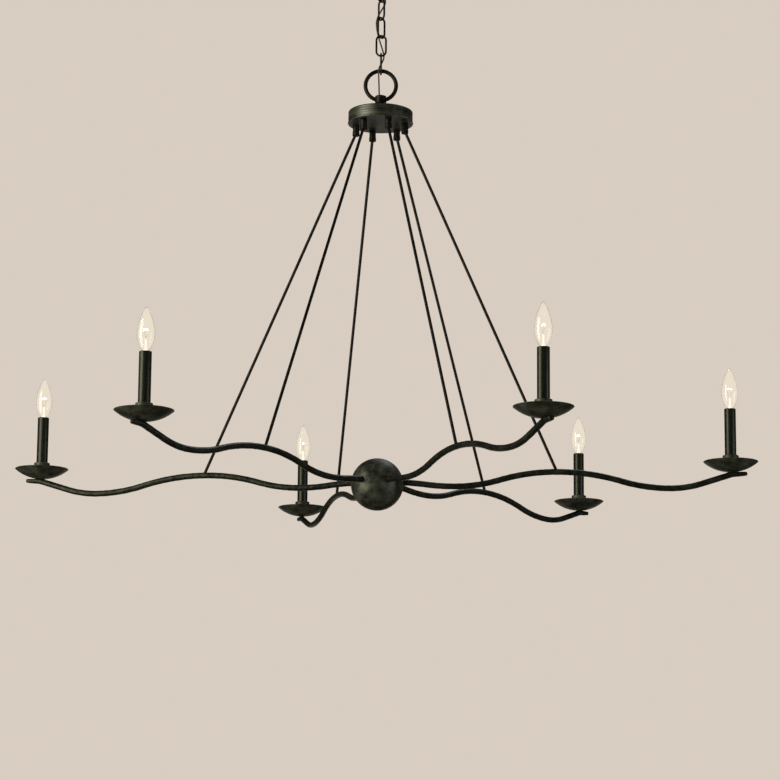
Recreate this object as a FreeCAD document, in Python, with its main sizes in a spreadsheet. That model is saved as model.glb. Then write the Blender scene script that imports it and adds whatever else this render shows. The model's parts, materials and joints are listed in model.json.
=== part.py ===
import FreeCAD, Part
import math
import os
import Sketcher

# A hanging chandelier with six forged arms, built in millimetres.
# The origin is on the ceiling face, +Z is up, and everything hangs below it.
# Heights called "level" are measured up from the ball's centre.

V = FreeCAD.Vector
UP = V(0, 0, 1)
doc = FreeCAD.newDocument("Chandelier")
sheet = doc.addObject("Spreadsheet::Sheet", "Dims")

driving = {
    "ball_drop": 1080, "ball_radius": 50.8, "ball_wall": 2.5,
    "arm_radius": 6, "arm_bore": 3, "arm_root": 16, "arm_hub_radius": 34,
    "candle_reach": 682, "tail_reach": 714, "rod_reach": 347.5,
    "cup_radius": 52.7, "cup_depth": 19.5, "cup_rim_level": 45, "cup_wall": 1.5,
    "seat_radius": 15.5, "seat_top_level": 57.5, "seat_floor_level": 50,
    "sleeve_radius": 11.1, "sleeve_wall": 1, "sleeve_top_level": 148.5,
    "socket_radius": 9.4, "socket_bore": 6.4, "stem_bore": 1.6,
    "bulb_radius": 15.9, "bulb_tip_level": 229, "bulb_foot_level": 131,
    "bulb_base_radius": 5.9,
    "hub_radius": 64, "hub_wall": 1.2, "hub_bottom_level": 723.5, "hub_height": 25.5,
    "boss_circle": 49.5, "boss_radius": 6.5, "boss_length": 13.5,
    "collar_radius": 7.1, "collar_length": 8.6,
    "rod_radius": 2.9, "rod_bore": 2.15, "rod_top_circle": 51.8,
    "neck_height": 32.5, "neck_radius": 11.2,
    "ring_level": 803.2, "ring_radius": 30.5, "ring_wire": 4,
    "link_bend": 9.5, "link_straight": 23, "link_wire": 2, "link_gap": 0.3,
    "loop_radius": 11.5, "loop_wire": 2.5,
    "canopy_radius": 63.5, "canopy_height": 26, "canopy_wall": 1,
    "stem_radius": 12, "strap_length": 104, "strap_width": 20, "strap_thick": 2.5,
    "slot_spacing": 88.9, "slot_radius": 2.6, "nipple_radius": 4.85,
    "cord_radius": 1.5, "wire_radius": 0.9, "hub_turn": -11.7,
}
for row, (alias, number) in enumerate(driving.items(), start=1):
    sheet.set(f"A{row}", alias)
    sheet.set(f"B{row}", str(number))
    sheet.setAlias(f"B{row}", alias)
doc.recompute()

# Each arm's bearing, anticlockwise from +X seen from above.
# The arms were set by hand and aren't evenly spaced.
bearings = {
    "right": -3.1, "back_right": 50.6, "back_left": 103.9,
    "left": 168.4, "front_left": 233.7, "front_right": 294.4,
}
sides = list(bearings)
nodes = {}


class Size:
    """A length that keeps both its value and the sheet expression that gives it."""

    def __init__(self, value, text):
        self.value = value
        self.text = text

    def join(self, other, sign, value):
        text = other.text if isinstance(other, Size) else repr(other)
        return Size(value, f"({self.text} {sign} {text})")

    def __add__(self, other):
        return self.join(other, "+", self.value + number_of(other))

    def __sub__(self, other):
        return self.join(other, "-", self.value - number_of(other))


def number_of(item):
    return item.value if isinstance(item, Size) else float(item)


def dim(alias):
    return Size(float(driving[alias]), f"Dims.{alias}")


def val(alias):
    return float(driving[alias])


def level(height):
    """The Z of a height above the ball's centre."""
    return height - val("ball_drop")


def at_level(height):
    return FreeCAD.Placement(V(0, 0, level(height)), FreeCAD.Rotation())


def bearing_place(angle, reach=0.0, height=0.0):
    turn = FreeCAD.Rotation(UP, angle)
    return FreeCAD.Placement(V(0, 0, level(height)) + turn.multVec(V(reach, 0, 0)), turn)


def bind(item, prop, size):
    setattr(item, prop, number_of(size))
    if isinstance(size, Size):
        item.setExpression(prop, size.text)


def keep(name, item):
    item.Label = name
    nodes[name] = item
    return item


# ---- shared ways of making a piece

def draw(body, name, role, outline):
    """A closed sketch. Each entry is (x, y), or (x, y, via_x, via_y) for an arc that ends there."""
    sketch = body.newObject("Sketcher::SketchObject", name)
    plane = next(item for item in body.Origin.OriginFeatures if item.Role == role)
    sketch.AttachmentSupport = [(plane, "")]
    sketch.MapMode = "FlatFace"
    spots = [V(number_of(entry[0]), number_of(entry[1]), 0) for entry in outline]
    for index, entry in enumerate(outline):
        start, end = spots[index - 1], spots[index]
        if len(entry) == 4:
            via = V(number_of(entry[2]), number_of(entry[3]), 0)
            edge = sketch.addGeometry(Part.Arc(start, via, end), False)
        else:
            edge = sketch.addGeometry(Part.LineSegment(start, end), False)
        corner = 2 if (sketch.getPoint(edge, 2) - end).Length < 1e-6 else 1
        for kind, size in (("DistanceX", entry[0]), ("DistanceY", entry[1])):
            if isinstance(size, Size) and size.value > 0:
                rule = sketch.addConstraint(Sketcher.Constraint(kind, -1, 1, edge, corner, size.value))
                sketch.setExpression(f"Constraints[{rule}]", size.text)
    return sketch


def turned(name, outline, place=None):
    """A turned piece: a body whose outline of (radius, height) is spun round Z."""
    body = doc.addObject("PartDesign::Body", name)
    sketch = draw(body, name + "_outline", "XZ_Plane", outline)
    spin = body.newObject("PartDesign::Revolution", name + "_spin")
    spin.Profile = sketch
    spin.ReferenceAxis = (sketch, ["V_Axis"])
    spin.Angle = 360
    if place:
        body.Placement = place
    return body


def tube_outline(outer, inner, low, high):
    return [(inner, low), (outer, low), (outer, high), (inner, high)]


def solid(name, shape, place=None):
    """A piece whose shape comes from Part's own functions."""
    item = doc.addObject("Part::Feature", name)
    item.Shape = shape
    if place:
        item.Placement = place
    return item


def joined(kind, name, base, tools):
    """Part::Cut or Part::Fuse of one object with one tool after another."""
    for count, tool in enumerate(tools):
        step = doc.addObject(kind, f"{name}_{count}")
        step.Base = base
        step.Tool = tool
        base = step
    return base


def rounded_path(points, radii):
    """Straight runs between points, joined by tangent arcs of the given radii."""
    edges = []
    last = points[0]
    for index in range(1, len(points) - 1):
        before = (points[index - 1] - points[index]).normalize()
        after = (points[index + 1] - points[index]).normalize()
        half_turn = (math.pi - before.getAngle(after)) / 2
        if half_turn < 1e-6:
            continue
        radius = radii[index - 1]
        back = radius * math.tan(half_turn)
        start = points[index] + before * back
        end = points[index] + after * back
        middle = (before + after).normalize()
        centre = points[index] + middle * (radius / math.cos(half_turn))
        if (start - last).Length > 1e-4:
            edges.append(Part.LineSegment(last, start).toShape())
        edges.append(Part.Arc(start, centre - middle * radius, end).toShape())
        last = end
    if (points[-1] - last).Length > 1e-4:
        edges.append(Part.LineSegment(last, points[-1]).toShape())
    return Part.Wire(edges)


def swept(path, radius):
    """A round section of the given radius swept along a path, as one solid."""
    first = path.OrderedEdges[0]
    start = first.valueAt(first.FirstParameter)
    way = first.tangentAt(first.FirstParameter)
    if (start - path.OrderedVertexes[0].Point).Length > 1e-6:
        start = first.valueAt(first.LastParameter)
        way = first.tangentAt(first.LastParameter)
    profile = Part.Wire([Part.Circle(start, way, radius).toShape()])
    made = path.makePipeShell([profile], True, True)
    expected = math.pi * radius ** 2 * path.Length
    if abs(made.Volume - expected) > 0.01 * expected:
        raise ValueError(f"a sweep of radius {radius} has volume {made.Volume:.0f}, not {expected:.0f}")
    return made


def cylinder_between(start, end, radius):
    way = end - start
    return Part.makeCylinder(radius, way.Length, start, way)


def hexagon(name, across, low, high, bore):
    """A hexagon nut: a padded hexagon, with its bore cut through."""
    body = doc.addObject("PartDesign::Body", name)
    reach = across / math.sqrt(3)
    turns = [math.radians(60 * count) for count in range(6)]
    corners = [(reach * math.cos(turn), reach * math.sin(turn)) for turn in turns]
    pad = body.newObject("PartDesign::Pad", name + "_pad")
    pad.Profile = draw(body, name + "_outline", "XY_Plane", corners)
    pad.Length = high - low
    hole_sketch = body.newObject("Sketcher::SketchObject", name + "_bore")
    plane = next(item for item in body.Origin.OriginFeatures if item.Role == "XY_Plane")
    hole_sketch.AttachmentSupport = [(plane, "")]
    hole_sketch.MapMode = "FlatFace"
    hole_sketch.addGeometry(Part.Circle(V(0, 0, 0), UP, bore), False)
    pocket = body.newObject("PartDesign::Pocket", name + "_pocket")
    pocket.Profile = hole_sketch
    pocket.Type = "ThroughAll"
    pocket.Midplane = True
    body.Placement = FreeCAD.Placement(V(0, 0, low), FreeCAD.Rotation())
    return body


def six_of(name, master, places):
    """One node that holds a copy of the same piece at each place."""
    doc.recompute()
    copies = []
    for place in places:
        copy = master.Shape.copy()
        copy.Placement = place
        copies.append(copy)
    return keep(name, solid(name, Part.makeCompound(copies)))


# ---- the route of an arm, seen from the side: (distance from the ball's axis, level)

def wave(start, end, share):
    """Two corners of an S between two level points, made of two arcs.

    share is the first arc's part of both radii.
    """
    run = end[0] - start[0]
    rise = abs(end[1] - start[1])
    both = (run ** 2 + rise ** 2) / (2 * rise)
    half_turn = math.asin(run / both) / 2
    first = both * share
    second = both - first
    corners = [
        (start[0] + first * math.tan(half_turn), start[1]),
        (end[0] - second * math.tan(half_turn), end[1]),
    ]
    return corners, [first, second]


arch_level = 25.3
tail_climb = math.radians(17.5)


def arm_side():
    root, dip, arch, trough = (40, 4), (150, -3.3), (val("rod_reach"), arch_level), (566, -6.5)
    corners = [(val("arm_root"), root[1])]
    radii = []
    for start, end, share in ((root, dip, 0.5), (dip, arch, 0.44), (arch, trough, 0.57)):
        spots, bends = wave(start, end, share)
        corners += spots
        radii += bends
    trough_bend, crest_bend, tail_level = 200, 50, 22.0
    foot = trough[0] + trough_bend * math.tan(tail_climb / 2)
    crest = foot + (tail_level - trough[1]) / math.tan(tail_climb)
    corners += [(foot, trough[1]), (crest, tail_level), (val("tail_reach") - val("arm_radius"), tail_level)]
    radii += [trough_bend, crest_bend]
    return corners, radii


arm_corners, arm_bends = arm_side()


def side_points(corners):
    return [V(reach, 0, height) for reach, height in corners]


# ---- the ceiling fitting

strap_face = -val("strap_thick")
strap = doc.addObject("Part::Box", "strap_plate")
bind(strap, "Length", dim("strap_length"))
bind(strap, "Width", dim("strap_width"))
bind(strap, "Height", dim("strap_thick"))
strap_corner = V(-val("strap_length") / 2, -val("strap_width") / 2, strap_face)
strap.Placement = FreeCAD.Placement(strap_corner, FreeCAD.Rotation())
slot_half = 5.5
strap_cuts = [solid("strap_hole", Part.makeCylinder(val("nipple_radius") + 0.05, 10, V(0, 0, -6)))]
for side in (-1, 1):
    centre = V(side * val("slot_spacing") / 2, 0, -6)
    width = val("slot_radius")
    flat = slot_half - width
    ends = [Part.makeCylinder(width, 10, centre + V(shift, 0, 0)) for shift in (-flat, flat)]
    block = Part.makeBox(2 * flat, 2 * width, 10, centre + V(-flat, -width, 0))
    strap_cuts.append(solid("strap_slot", block.fuse(ends).removeSplitter()))
keep("mounting_strap", joined("Part::Cut", "strap_cut", strap, strap_cuts))

stem_top = -20.0
nipple_foot, nipple_length, nipple_bore = -30, 27, 3.4
nipple_outline = tube_outline(dim("nipple_radius"), nipple_bore, 0, nipple_length)
nipple_place = FreeCAD.Placement(V(0, 0, nipple_foot), FreeCAD.Rotation())
keep("canopy_nipple", turned("canopy_nipple", nipple_outline, nipple_place))
nipple_nut = hexagon("nipple_nut", 16, strap_face - 4, strap_face, val("nipple_radius") + 0.03)
keep("nipple_nut", nipple_nut)

dish = turned("canopy", [
    (dim("stem_radius") + 0.3, 0),
    (dim("canopy_radius") - 14, 0),
    (dim("canopy_radius"), 14, dim("canopy_radius") - 3, 3.6),
    (dim("canopy_radius"), dim("canopy_height")),
    (dim("canopy_radius") - dim("canopy_wall"), dim("canopy_height")),
    (dim("canopy_radius") - dim("canopy_wall"), 14),
    (dim("canopy_radius") - 14, dim("canopy_wall"), dim("canopy_radius") - 3.75, 4.3),
    (dim("stem_radius") + 0.3, dim("canopy_wall")),
], FreeCAD.Placement(V(0, 0, -val("canopy_height")), FreeCAD.Rotation()))
keep("canopy", dish)

collar_top = -val("canopy_height") - 0.1
keep("collar_nut", turned("collar_nut", [
    (dim("stem_radius") + 0.05, 0),
    (dim("stem_radius") + 4, 0),
    (dim("stem_radius") + 6, 3, dim("stem_radius") + 5.6, 1.2),
    (dim("stem_radius") + 6, 7),
    (dim("stem_radius") + 0.05, 7),
], FreeCAD.Placement(V(0, 0, collar_top - 7), FreeCAD.Rotation())))

# ---- the chain: five oval links between the canopy loop and the hanging ring

link_turns = [90, 0, 48, 125, 40]
loop_turn = 130
ring_top_wire = val("ring_level") + val("ring_radius")
link_drop = val("link_straight") + 2 * val("link_bend")
link_pitch = link_drop - 2 * val("link_wire") - val("link_gap")
first_link_foot = ring_top_wire - val("ring_wire") - val("link_wire") - val("link_gap")
link_feet = [level(first_link_foot + link_pitch * count) for count in range(len(link_turns))]
loop_foot = link_feet[-1] + link_drop - val("link_wire") - val("loop_wire") - val("link_gap")


def chain_link(name, foot, turn):
    """An oval link: two half rings and two straight bars, its lower wire's centre at foot."""
    shapes = []
    for height, start in ((val("link_bend"), 180), (val("link_bend") + val("link_straight"), 0)):
        bend = doc.addObject("Part::Torus", name + "_bend")
        bind(bend, "Radius1", dim("link_bend"))
        bind(bend, "Radius2", dim("link_wire"))
        bend.Angle3 = 180
        bend.Placement = FreeCAD.Placement(
            V(0, 0, height), FreeCAD.Rotation(V(1, 0, 0), 90 if start == 0 else -90))
        shapes.append(bend)
    for side in (-1, 1):
        bar = doc.addObject("Part::Cylinder", name + "_bar")
        bind(bar, "Radius", dim("link_wire"))
        bind(bar, "Height", dim("link_straight"))
        bar_foot = V(side * val("link_bend"), 0, val("link_bend"))
        bar.Placement = FreeCAD.Placement(bar_foot, FreeCAD.Rotation())
        shapes.append(bar)
    link = doc.addObject("Part::MultiFuse", name)
    link.Shapes = shapes
    link.Refine = True
    link.Placement = FreeCAD.Placement(V(0, 0, foot), FreeCAD.Rotation(UP, turn))
    return keep(name, link)


for number, (foot, turn) in enumerate(zip(link_feet, link_turns), start=1):
    chain_link(f"chain_link_{number}", foot, turn)

ring = doc.addObject("Part::Torus", "hanging_ring")
bind(ring, "Radius1", dim("ring_radius"))
bind(ring, "Radius2", dim("ring_wire"))
ring.Placement = FreeCAD.Placement(V(0, 0, level(val("ring_level"))), FreeCAD.Rotation(V(1, 0, 0), 90))
keep("hanging_ring", ring)

# ---- the supply cord: woven down through every link, beside the ring and into the neck

neck_top = level(val("hub_bottom_level") + val("hub_height") + val("neck_height"))
hub_top = level(val("hub_bottom_level") + val("hub_height"))
splice_top = level(val("hub_bottom_level") + 14.5)


def beside(angle, reach, height):
    return V(reach * math.cos(math.radians(angle)), reach * math.sin(math.radians(angle)), height)


weave = [45, 114, 176.5, 352.5, 175]
# At each joint the cord passes at this distance from the chain's middle, on these bearings.
weave_reach = 8.0
weave_bend = 24.0
cord_points = [
    V(0, 0, splice_top),
    V(0, 0, hub_top + 4),
    V(-2.4, -7.7, hub_top + 18),
    V(-3.2, -7.7, neck_top + 8),
    V(-4.4, -7.4, level(ring_top_wire) - 12),
    beside(236, 8.2, level(ring_top_wire) + 3),
]
joints_up = link_feet[1:] + [loop_foot]
for angle, wire in zip(weave, joints_up):
    cord_points.append(beside(angle, weave_reach, wire - val("link_wire")))
cord_points += [
    beside(loop_turn + 90, 8.7, loop_foot + 16),
    beside(loop_turn + 90, 8.7, stem_top + 9),
    beside(loop_turn + 90, 26, stem_top + 10),
]
cord_bends = [12, 14, 60, 60, 24] + [weave_bend] * len(weave) + [14, 7]
cord_path = rounded_path(cord_points, cord_bends)
whole_cord = swept(cord_path, val("cord_radius"))
print("cord length", round(cord_path.Length, 1), "bends", cord_bends)

# The cord is cut where the chain's joints are, so each stretch swings with its own link.
# Beside the ring's lower wire the cut is above the neck, which tilts there.
cord_gap = 0.9
above_eye = 12.0
pivot_ring = link_feet[0]
pivots = [level(val("ring_level") - val("ring_radius")), pivot_ring] + joints_up
cord_names = ["hub", "ring"] + [str(number) for number in range(1, 6)] + ["canopy"]
cord_cuts = [splice_top - 5] + pivots + [20]
for name, low, high in zip(cord_names, cord_cuts, cord_cuts[1:]):
    low_gap = cord_gap if low != cord_cuts[0] else 0
    high_gap = cord_gap if high != 20 else 0
    if name == "hub":
        high = high + above_eye
    if name == "ring":
        low = low + above_eye
    slab = Part.makeBox(120, 120, high - low - low_gap - high_gap, V(-60, -60, low + low_gap))
    keep("supply_cord_" + name, solid("supply_cord_" + name, whole_cord.common(slab)))

neck_wireway = swept(rounded_path(cord_points[:4], cord_bends[:2]), val("cord_radius") + 0.5)
stem_wireway = cylinder_between(cord_points[-3] - V(0, 0, 6), cord_points[-2], val("cord_radius") + 0.6)

# ---- the canopy loop: a threaded stem with a ring below it and a hole beside the ring for the cord

stem_foot = collar_top - 9.5
stem = turned("loop_stem", [
    (dim("nipple_radius") + 0.05, 5),
    (dim("nipple_radius") + 0.05, stem_top - stem_foot),
    (dim("stem_radius"), stem_top - stem_foot),
    (dim("stem_radius"), 0),
    (5, -5),
    (0, -5),
    (0, 5),
], FreeCAD.Placement(V(0, 0, stem_foot), FreeCAD.Rotation()))
loop = doc.addObject("Part::Torus", "loop_ring")
bind(loop, "Radius1", dim("loop_radius"))
bind(loop, "Radius2", dim("loop_wire"))
loop.Placement = FreeCAD.Placement(
    V(0, 0, loop_foot + val("loop_radius")),
    FreeCAD.Rotation(UP, loop_turn).multiply(FreeCAD.Rotation(V(1, 0, 0), 90)))
loop_whole = joined("Part::Fuse", "loop_whole", stem, [loop])
keep("canopy_loop", joined("Part::Cut", "loop_cut", loop_whole, [solid("loop_wireway", stem_wireway)]))

# Two twist-on connectors lie on top of the stem, where the cord ends.
nut_outline = [(0, 0), (3.6, 0), (4, 2), (4, 9), (2.6, 17), (0, 17)]
nut_master = turned("wire_nut", nut_outline)
way_out = FreeCAD.Rotation(UP, loop_turn + 90)
lay_flat = way_out.multiply(FreeCAD.Rotation(V(0, 1, 0), 90))
nut_places = [
    FreeCAD.Placement(cord_points[-1] + way_out.multVec(V(0.4, shift, 0)), lay_flat) for shift in (-4.2, 4.2)
]
six_of("wire_nuts", nut_master, nut_places)

# ---- the neck, the hub and its bosses

neck_body = turned("neck_turned", [
    (0, -10), (5, -10), (5, 0), (9.5, 0), (dim("neck_radius") - 0.7, 1.2), (dim("neck_radius") - 0.7, 3.5),
    (8.7, 5), (8.7, 12), (dim("neck_radius"), 18, 9.4, 15.6),
    (dim("neck_radius"), dim("neck_height") - 1), (dim("neck_radius") - 1, dim("neck_height")),
    (0, dim("neck_height")),
], FreeCAD.Placement(V(0, 0, hub_top), FreeCAD.Rotation()))
neck_eye = doc.addObject("Part::Torus", "neck_eye")
bind(neck_eye, "Radius1", dim("ring_radius"))
bind(neck_eye, "Radius2", dim("ring_wire") + 0.9)
neck_eye.Placement = ring.Placement
neck_cuts = [neck_eye, solid("neck_wireway", neck_wireway)]
keep("neck", joined("Part::Cut", "neck_cut", neck_body, neck_cuts))
under_top = hub_top - val("hub_wall")
keep("neck_nut", hexagon("neck_nut", 14, under_top - 4.5, under_top, 5.03))

keep("hub_shell", turned("hub_shell", [
    (5.1, dim("hub_height") - dim("hub_wall")),
    (dim("hub_radius") - 3, dim("hub_height") - dim("hub_wall")),
    (dim("hub_radius") - dim("hub_wall"), 21.5, dim("hub_radius") - 1.9, 23.4),
    (dim("hub_radius") - dim("hub_wall"), 0),
    (dim("hub_radius"), 0),
    (dim("hub_radius") + 1, 1.5, dim("hub_radius") + 0.8, 0.6),
    (dim("hub_radius"), 3, dim("hub_radius") + 0.8, 2.4),
    (dim("hub_radius"), dim("hub_height") - 3),
    (dim("hub_radius") - 3, dim("hub_height"), dim("hub_radius") - 0.9, 24.6),
    (5.1, dim("hub_height")),
], at_level(val("hub_bottom_level"))))

plate_radius = dim("hub_radius") - dim("hub_wall") - 0.05
plate_thick = 1.5
hub_plate = doc.addObject("PartDesign::Body", "hub_plate")
disc = hub_plate.newObject("PartDesign::Revolution", "plate_disc")
disc.Profile = draw(hub_plate, "plate_outline", "XZ_Plane", [
    (0, 0), (plate_radius, 0), (plate_radius, plate_thick), (0, plate_thick),
])
disc.ReferenceAxis = (disc.Profile[0], ["V_Axis"])
disc.Angle = 360
hole_sketch = hub_plate.newObject("Sketcher::SketchObject", "boss_hole")
plane = next(item for item in hub_plate.Origin.OriginFeatures if item.Role == "XY_Plane")
hole_sketch.AttachmentSupport = [(plane, "")]
hole_sketch.MapMode = "FlatFace"
hole = hole_sketch.addGeometry(Part.Circle(V(val("boss_circle"), 0, 0), UP, 4.55), False)
hole_reach = Sketcher.Constraint("DistanceX", -1, 1, hole, 3, val("boss_circle"))
hole_rule = hole_sketch.addConstraint(hole_reach)
hole_sketch.setExpression(f"Constraints[{hole_rule}]", "Dims.boss_circle")
boss_hole = hub_plate.newObject("PartDesign::Pocket", "boss_hole_cut")
boss_hole.Profile = hole_sketch
boss_hole.Type = "ThroughAll"
boss_hole.Midplane = True
doc.recompute()
boss_holes = hub_plate.newObject("PartDesign::PolarPattern", "boss_holes")
boss_holes.Originals = [boss_hole]
boss_holes.Axis = (hole_sketch, ["N_Axis"])
boss_holes.Angle = 360
boss_holes.Occurrences = len(sides)
hub_plate.Tip = boss_holes
hub_plate.Placement = FreeCAD.Placement(
    V(0, 0, level(val("hub_bottom_level"))), FreeCAD.Rotation(UP, val("hub_turn")))
keep("hub_plate", hub_plate)

boss_bearings = {side: val("hub_turn") + 60 * count for count, side in enumerate(sides)}
boss_master = turned("boss", [
    (2.3, 0), (dim("boss_radius"), 0), (dim("boss_radius"), dim("boss_length")),
    (4.5, dim("boss_length")), (4.5, dim("boss_length") + 5), (2.3, dim("boss_length") + 5),
])
boss_foot = val("hub_bottom_level") - val("boss_length")
boss_places = [bearing_place(boss_bearings[side], val("boss_circle"), boss_foot) for side in sides]
six_of("rod_bosses", boss_master, boss_places)

# ---- the six rods: thin tubes from the lock collars down to the arms' arches

collar_foot = boss_foot - val("collar_length")
rod_lines = {}
for side in sides:
    low = bearing_place(bearings[side], val("rod_reach"), arch_level).Base
    high = bearing_place(boss_bearings[side], val("rod_top_circle"), collar_foot).Base
    rod_lines[side] = (low, (high - low).normalize(), (high - low).Length)


def along_rod(side, distance):
    low, way, _ = rod_lines[side]
    return low + way * distance


def to_rod_height(side, height):
    low, way, _ = rod_lines[side]
    return low + way * ((level(height) - low.z) / way.z)


rod_tubes = []
for side in sides:
    start = along_rod(side, val("arm_bore") + 0.7)
    end = to_rod_height(side, boss_foot - 1.6)
    outer = cylinder_between(start, end, val("rod_radius"))
    bore = cylinder_between(start, end, val("rod_bore"))
    rod_tubes.append(outer.cut(bore))
keep("tie_rods", solid("tie_rods", Part.makeCompound(rod_tubes)))

collars = []
for side, place in zip(sides, boss_places):
    foot = place.Base - V(0, 0, val("collar_length"))
    collar = Part.makeCylinder(val("collar_radius"), val("collar_length") - 0.05, foot)
    below, above = to_rod_height(side, collar_foot - 5), to_rod_height(side, boss_foot + 5)
    collars.append(collar.cut(cylinder_between(below, above, val("rod_radius") + 0.05)))
keep("lock_collars", solid("lock_collars", Part.makeCompound(collars)))

# ---- the ball: two shells clamped round the hub that the arms fit into

arm_level = arm_corners[0][1]
outer_ball = Part.makeSphere(val("ball_radius"))
inner_ball = Part.makeSphere(val("ball_radius") - val("ball_wall"))


def arm_holes(clearance, length):
    """A cylinder along each arm, from the ball's axis outwards."""
    start = V(0, 0, arm_level)
    radius = val("arm_radius") + clearance
    return [Part.makeCylinder(radius, length, start, beside(angle, 1, 0)) for angle in bearings.values()]


box_side = 120
corner = V(-box_side / 2, -box_side / 2, arm_level)
upper_box = Part.makeBox(box_side, box_side, box_side, corner)
lower_box = Part.makeBox(box_side, box_side, box_side, corner - V(0, 0, box_side))
hub_low, hub_high = arm_level - 10, arm_level + 10
post_radius, post_reach = 8, 60
post_top = Part.makeCylinder(post_radius, post_reach, V(0, 0, hub_high)).common(outer_ball)
post_foot = Part.makeCylinder(post_radius, post_reach, V(0, 0, hub_low - post_reach)).common(outer_ball)
shell = outer_ball.cut(inner_ball)
screw_head = 7.0
screw_radius = 3.0
screw_top = val("ball_radius") - 0.6
sink_foot = V(0, 0, screw_top - screw_head + screw_radius + 0.1)
sink = Part.makeCone(screw_radius + 0.1, screw_head, screw_head - screw_radius - 0.1, sink_foot).fuse(
    Part.makeCylinder(screw_head, 3, V(0, 0, screw_top)))
shank_hole = Part.makeCylinder(screw_radius + 0.1, post_reach, V(0, 0, hub_high - 5))
tapped_hole = Part.makeCylinder(screw_radius + 0.02, 20, V(0, 0, hub_low - 14.5))
arm_gaps = arm_holes(0.2, 70)
ball_upper = shell.common(upper_box).fuse(post_top).cut(arm_gaps).cut([sink, shank_hole])
ball_lower = shell.common(lower_box).fuse(post_foot).cut(arm_gaps).cut([tapped_hole])
keep("ball_upper", solid("ball_upper", ball_upper, at_level(0)))
keep("ball_lower", solid("ball_lower", ball_lower, at_level(0)))

arm_hub = Part.makeCylinder(val("arm_hub_radius"), hub_high - hub_low, V(0, 0, hub_low))
hub_core = Part.makeCylinder(val("arm_root"), hub_high - hub_low, V(0, 0, hub_low))
screw_hole = Part.makeCylinder(screw_radius + 0.1, 40, V(0, 0, hub_low - 5))
arm_hub = arm_hub.cut(arm_holes(0.03, 60)).fuse(hub_core).cut(screw_hole)
keep("arm_hub", solid("arm_hub", arm_hub, at_level(0)))
screw_length = screw_top - hub_low + 14
screw = turned("ball_screw", [
    (0, 0), (screw_radius, 0), (screw_radius, screw_length - screw_head + screw_radius),
    (screw_head - 0.1, screw_length), (0, screw_length),
], at_level(hub_low - 14))
keep("ball_screw", screw)

# ---- the six arms

tail_top = val("cup_rim_level") - val("cup_depth") - 0.1
arm_path = rounded_path(side_points(arm_corners), arm_bends)
arm_bar = swept(arm_path, val("arm_radius"))
arm_tip = Part.makeSphere(val("arm_radius"), V(*[arm_corners[-1][0], 0, arm_corners[-1][1]]))


def climb_point(reach):
    """The point of the arm's last slope, carried on straight, at a distance from the ball's axis."""
    foot = arm_corners[-3]
    return reach, foot[1] + (reach - foot[0]) * math.tan(tail_climb)


bore_start = (arm_corners[0][0] - 1, arm_corners[0][1])
bore_corners = [bore_start] + arm_corners[1:-2] + [climb_point(val("candle_reach") - 1)]
bore_path = rounded_path(side_points(bore_corners), arm_bends[:-1])
arm_hollow = swept(bore_path, val("arm_bore"))
flat_top = Part.makeBox(120, 40, 30, V(val("candle_reach") - 40, -20, tail_top))
tail_slope = FreeCAD.Rotation(V(0, 1, 0), -7)
flat_under = Part.makeBox(60, 40, 20, V(0, -20, -20))
flat_under.Placement = FreeCAD.Placement(V(val("candle_reach") + 2.5, 0, 15.1), tail_slope)
stud_hole = Part.makeCylinder(3.55, 20, V(val("candle_reach"), 0, 17.5))
arm_shape = arm_bar.fuse(arm_tip).cut([flat_top, flat_under, arm_hollow, stud_hole]).removeSplitter()
for side, angle in bearings.items():
    place = bearing_place(angle)
    bar = solid("arm_bar_" + side, arm_shape, place)
    foot, way, _ = rod_lines[side]
    rod_hole = doc.addObject("Part::Cylinder", "rod_hole_" + side)
    bind(rod_hole, "Radius", dim("rod_radius") + 0.05)
    rod_hole.Height = 30
    rod_hole.Placement = FreeCAD.Placement(foot, FreeCAD.Rotation(UP, way))
    keep("arm_" + side, joined("Part::Cut", "arm_cut_" + side, bar, [rod_hole]))

# ---- the six cups, candle seats, sleeves and sockets

cup_foot = val("cup_rim_level") - val("cup_depth")


def bowl_height(reach, radius, depth, lift):
    """The height of a shallow bowl, part of a sphere, at a distance from its middle."""
    ball = (radius ** 2 + depth ** 2) / (2 * depth)
    return ball - math.sqrt(ball ** 2 - reach ** 2) + lift


cup_depth, cup_radius = val("cup_depth"), val("cup_radius")
middle = 30
for side, angle in bearings.items():
    keep("cup_" + side, turned("cup_" + side, [
        (3.6, bowl_height(3.6, cup_radius, cup_depth, 0)),
        (dim("cup_radius"), dim("cup_depth"), middle, bowl_height(middle, cup_radius, cup_depth, 0)),
        (dim("cup_radius") - 0.4, dim("cup_depth") + 0.9),
        (dim("cup_radius") - 1.2, dim("cup_depth") + 1),
        (3.6, 1.6, middle, bowl_height(middle, cup_radius, cup_depth, 0) + 1.55),
    ], bearing_place(angle, val("candle_reach"), cup_foot)))

seat_low = 1.7
seat_floor = val("seat_floor_level") - cup_foot
seat_top = val("seat_top_level") - cup_foot
seat_master = turned("seat", [
    (dim("stem_bore"), -2.8), (3.5, -2.8), (3.5, seat_low), (9, 2.5), (9, 4),
    (6.5, 6.5, 7.3, 4.7), (6.5, seat_floor - 10), (dim("seat_radius"), seat_floor, 9.2, seat_floor - 3),
    (dim("seat_radius"), seat_top - 1.5), (dim("seat_radius") - 1.5, seat_top),
    (dim("sleeve_radius") + 0.1, seat_top), (dim("sleeve_radius") + 0.1, seat_floor),
    (4.8, seat_floor), (4.8, seat_floor + 10), (dim("stem_bore"), seat_floor + 10),
])
candle_places = [bearing_place(bearings[side], val("candle_reach"), cup_foot) for side in sides]
six_of("cup_seats", seat_master, candle_places)
sleeve_top = val("sleeve_top_level") - cup_foot
sleeve_master = turned("sleeve", tube_outline(
    dim("sleeve_radius"), dim("sleeve_radius") - dim("sleeve_wall"), seat_floor + 0.1, sleeve_top))
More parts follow.
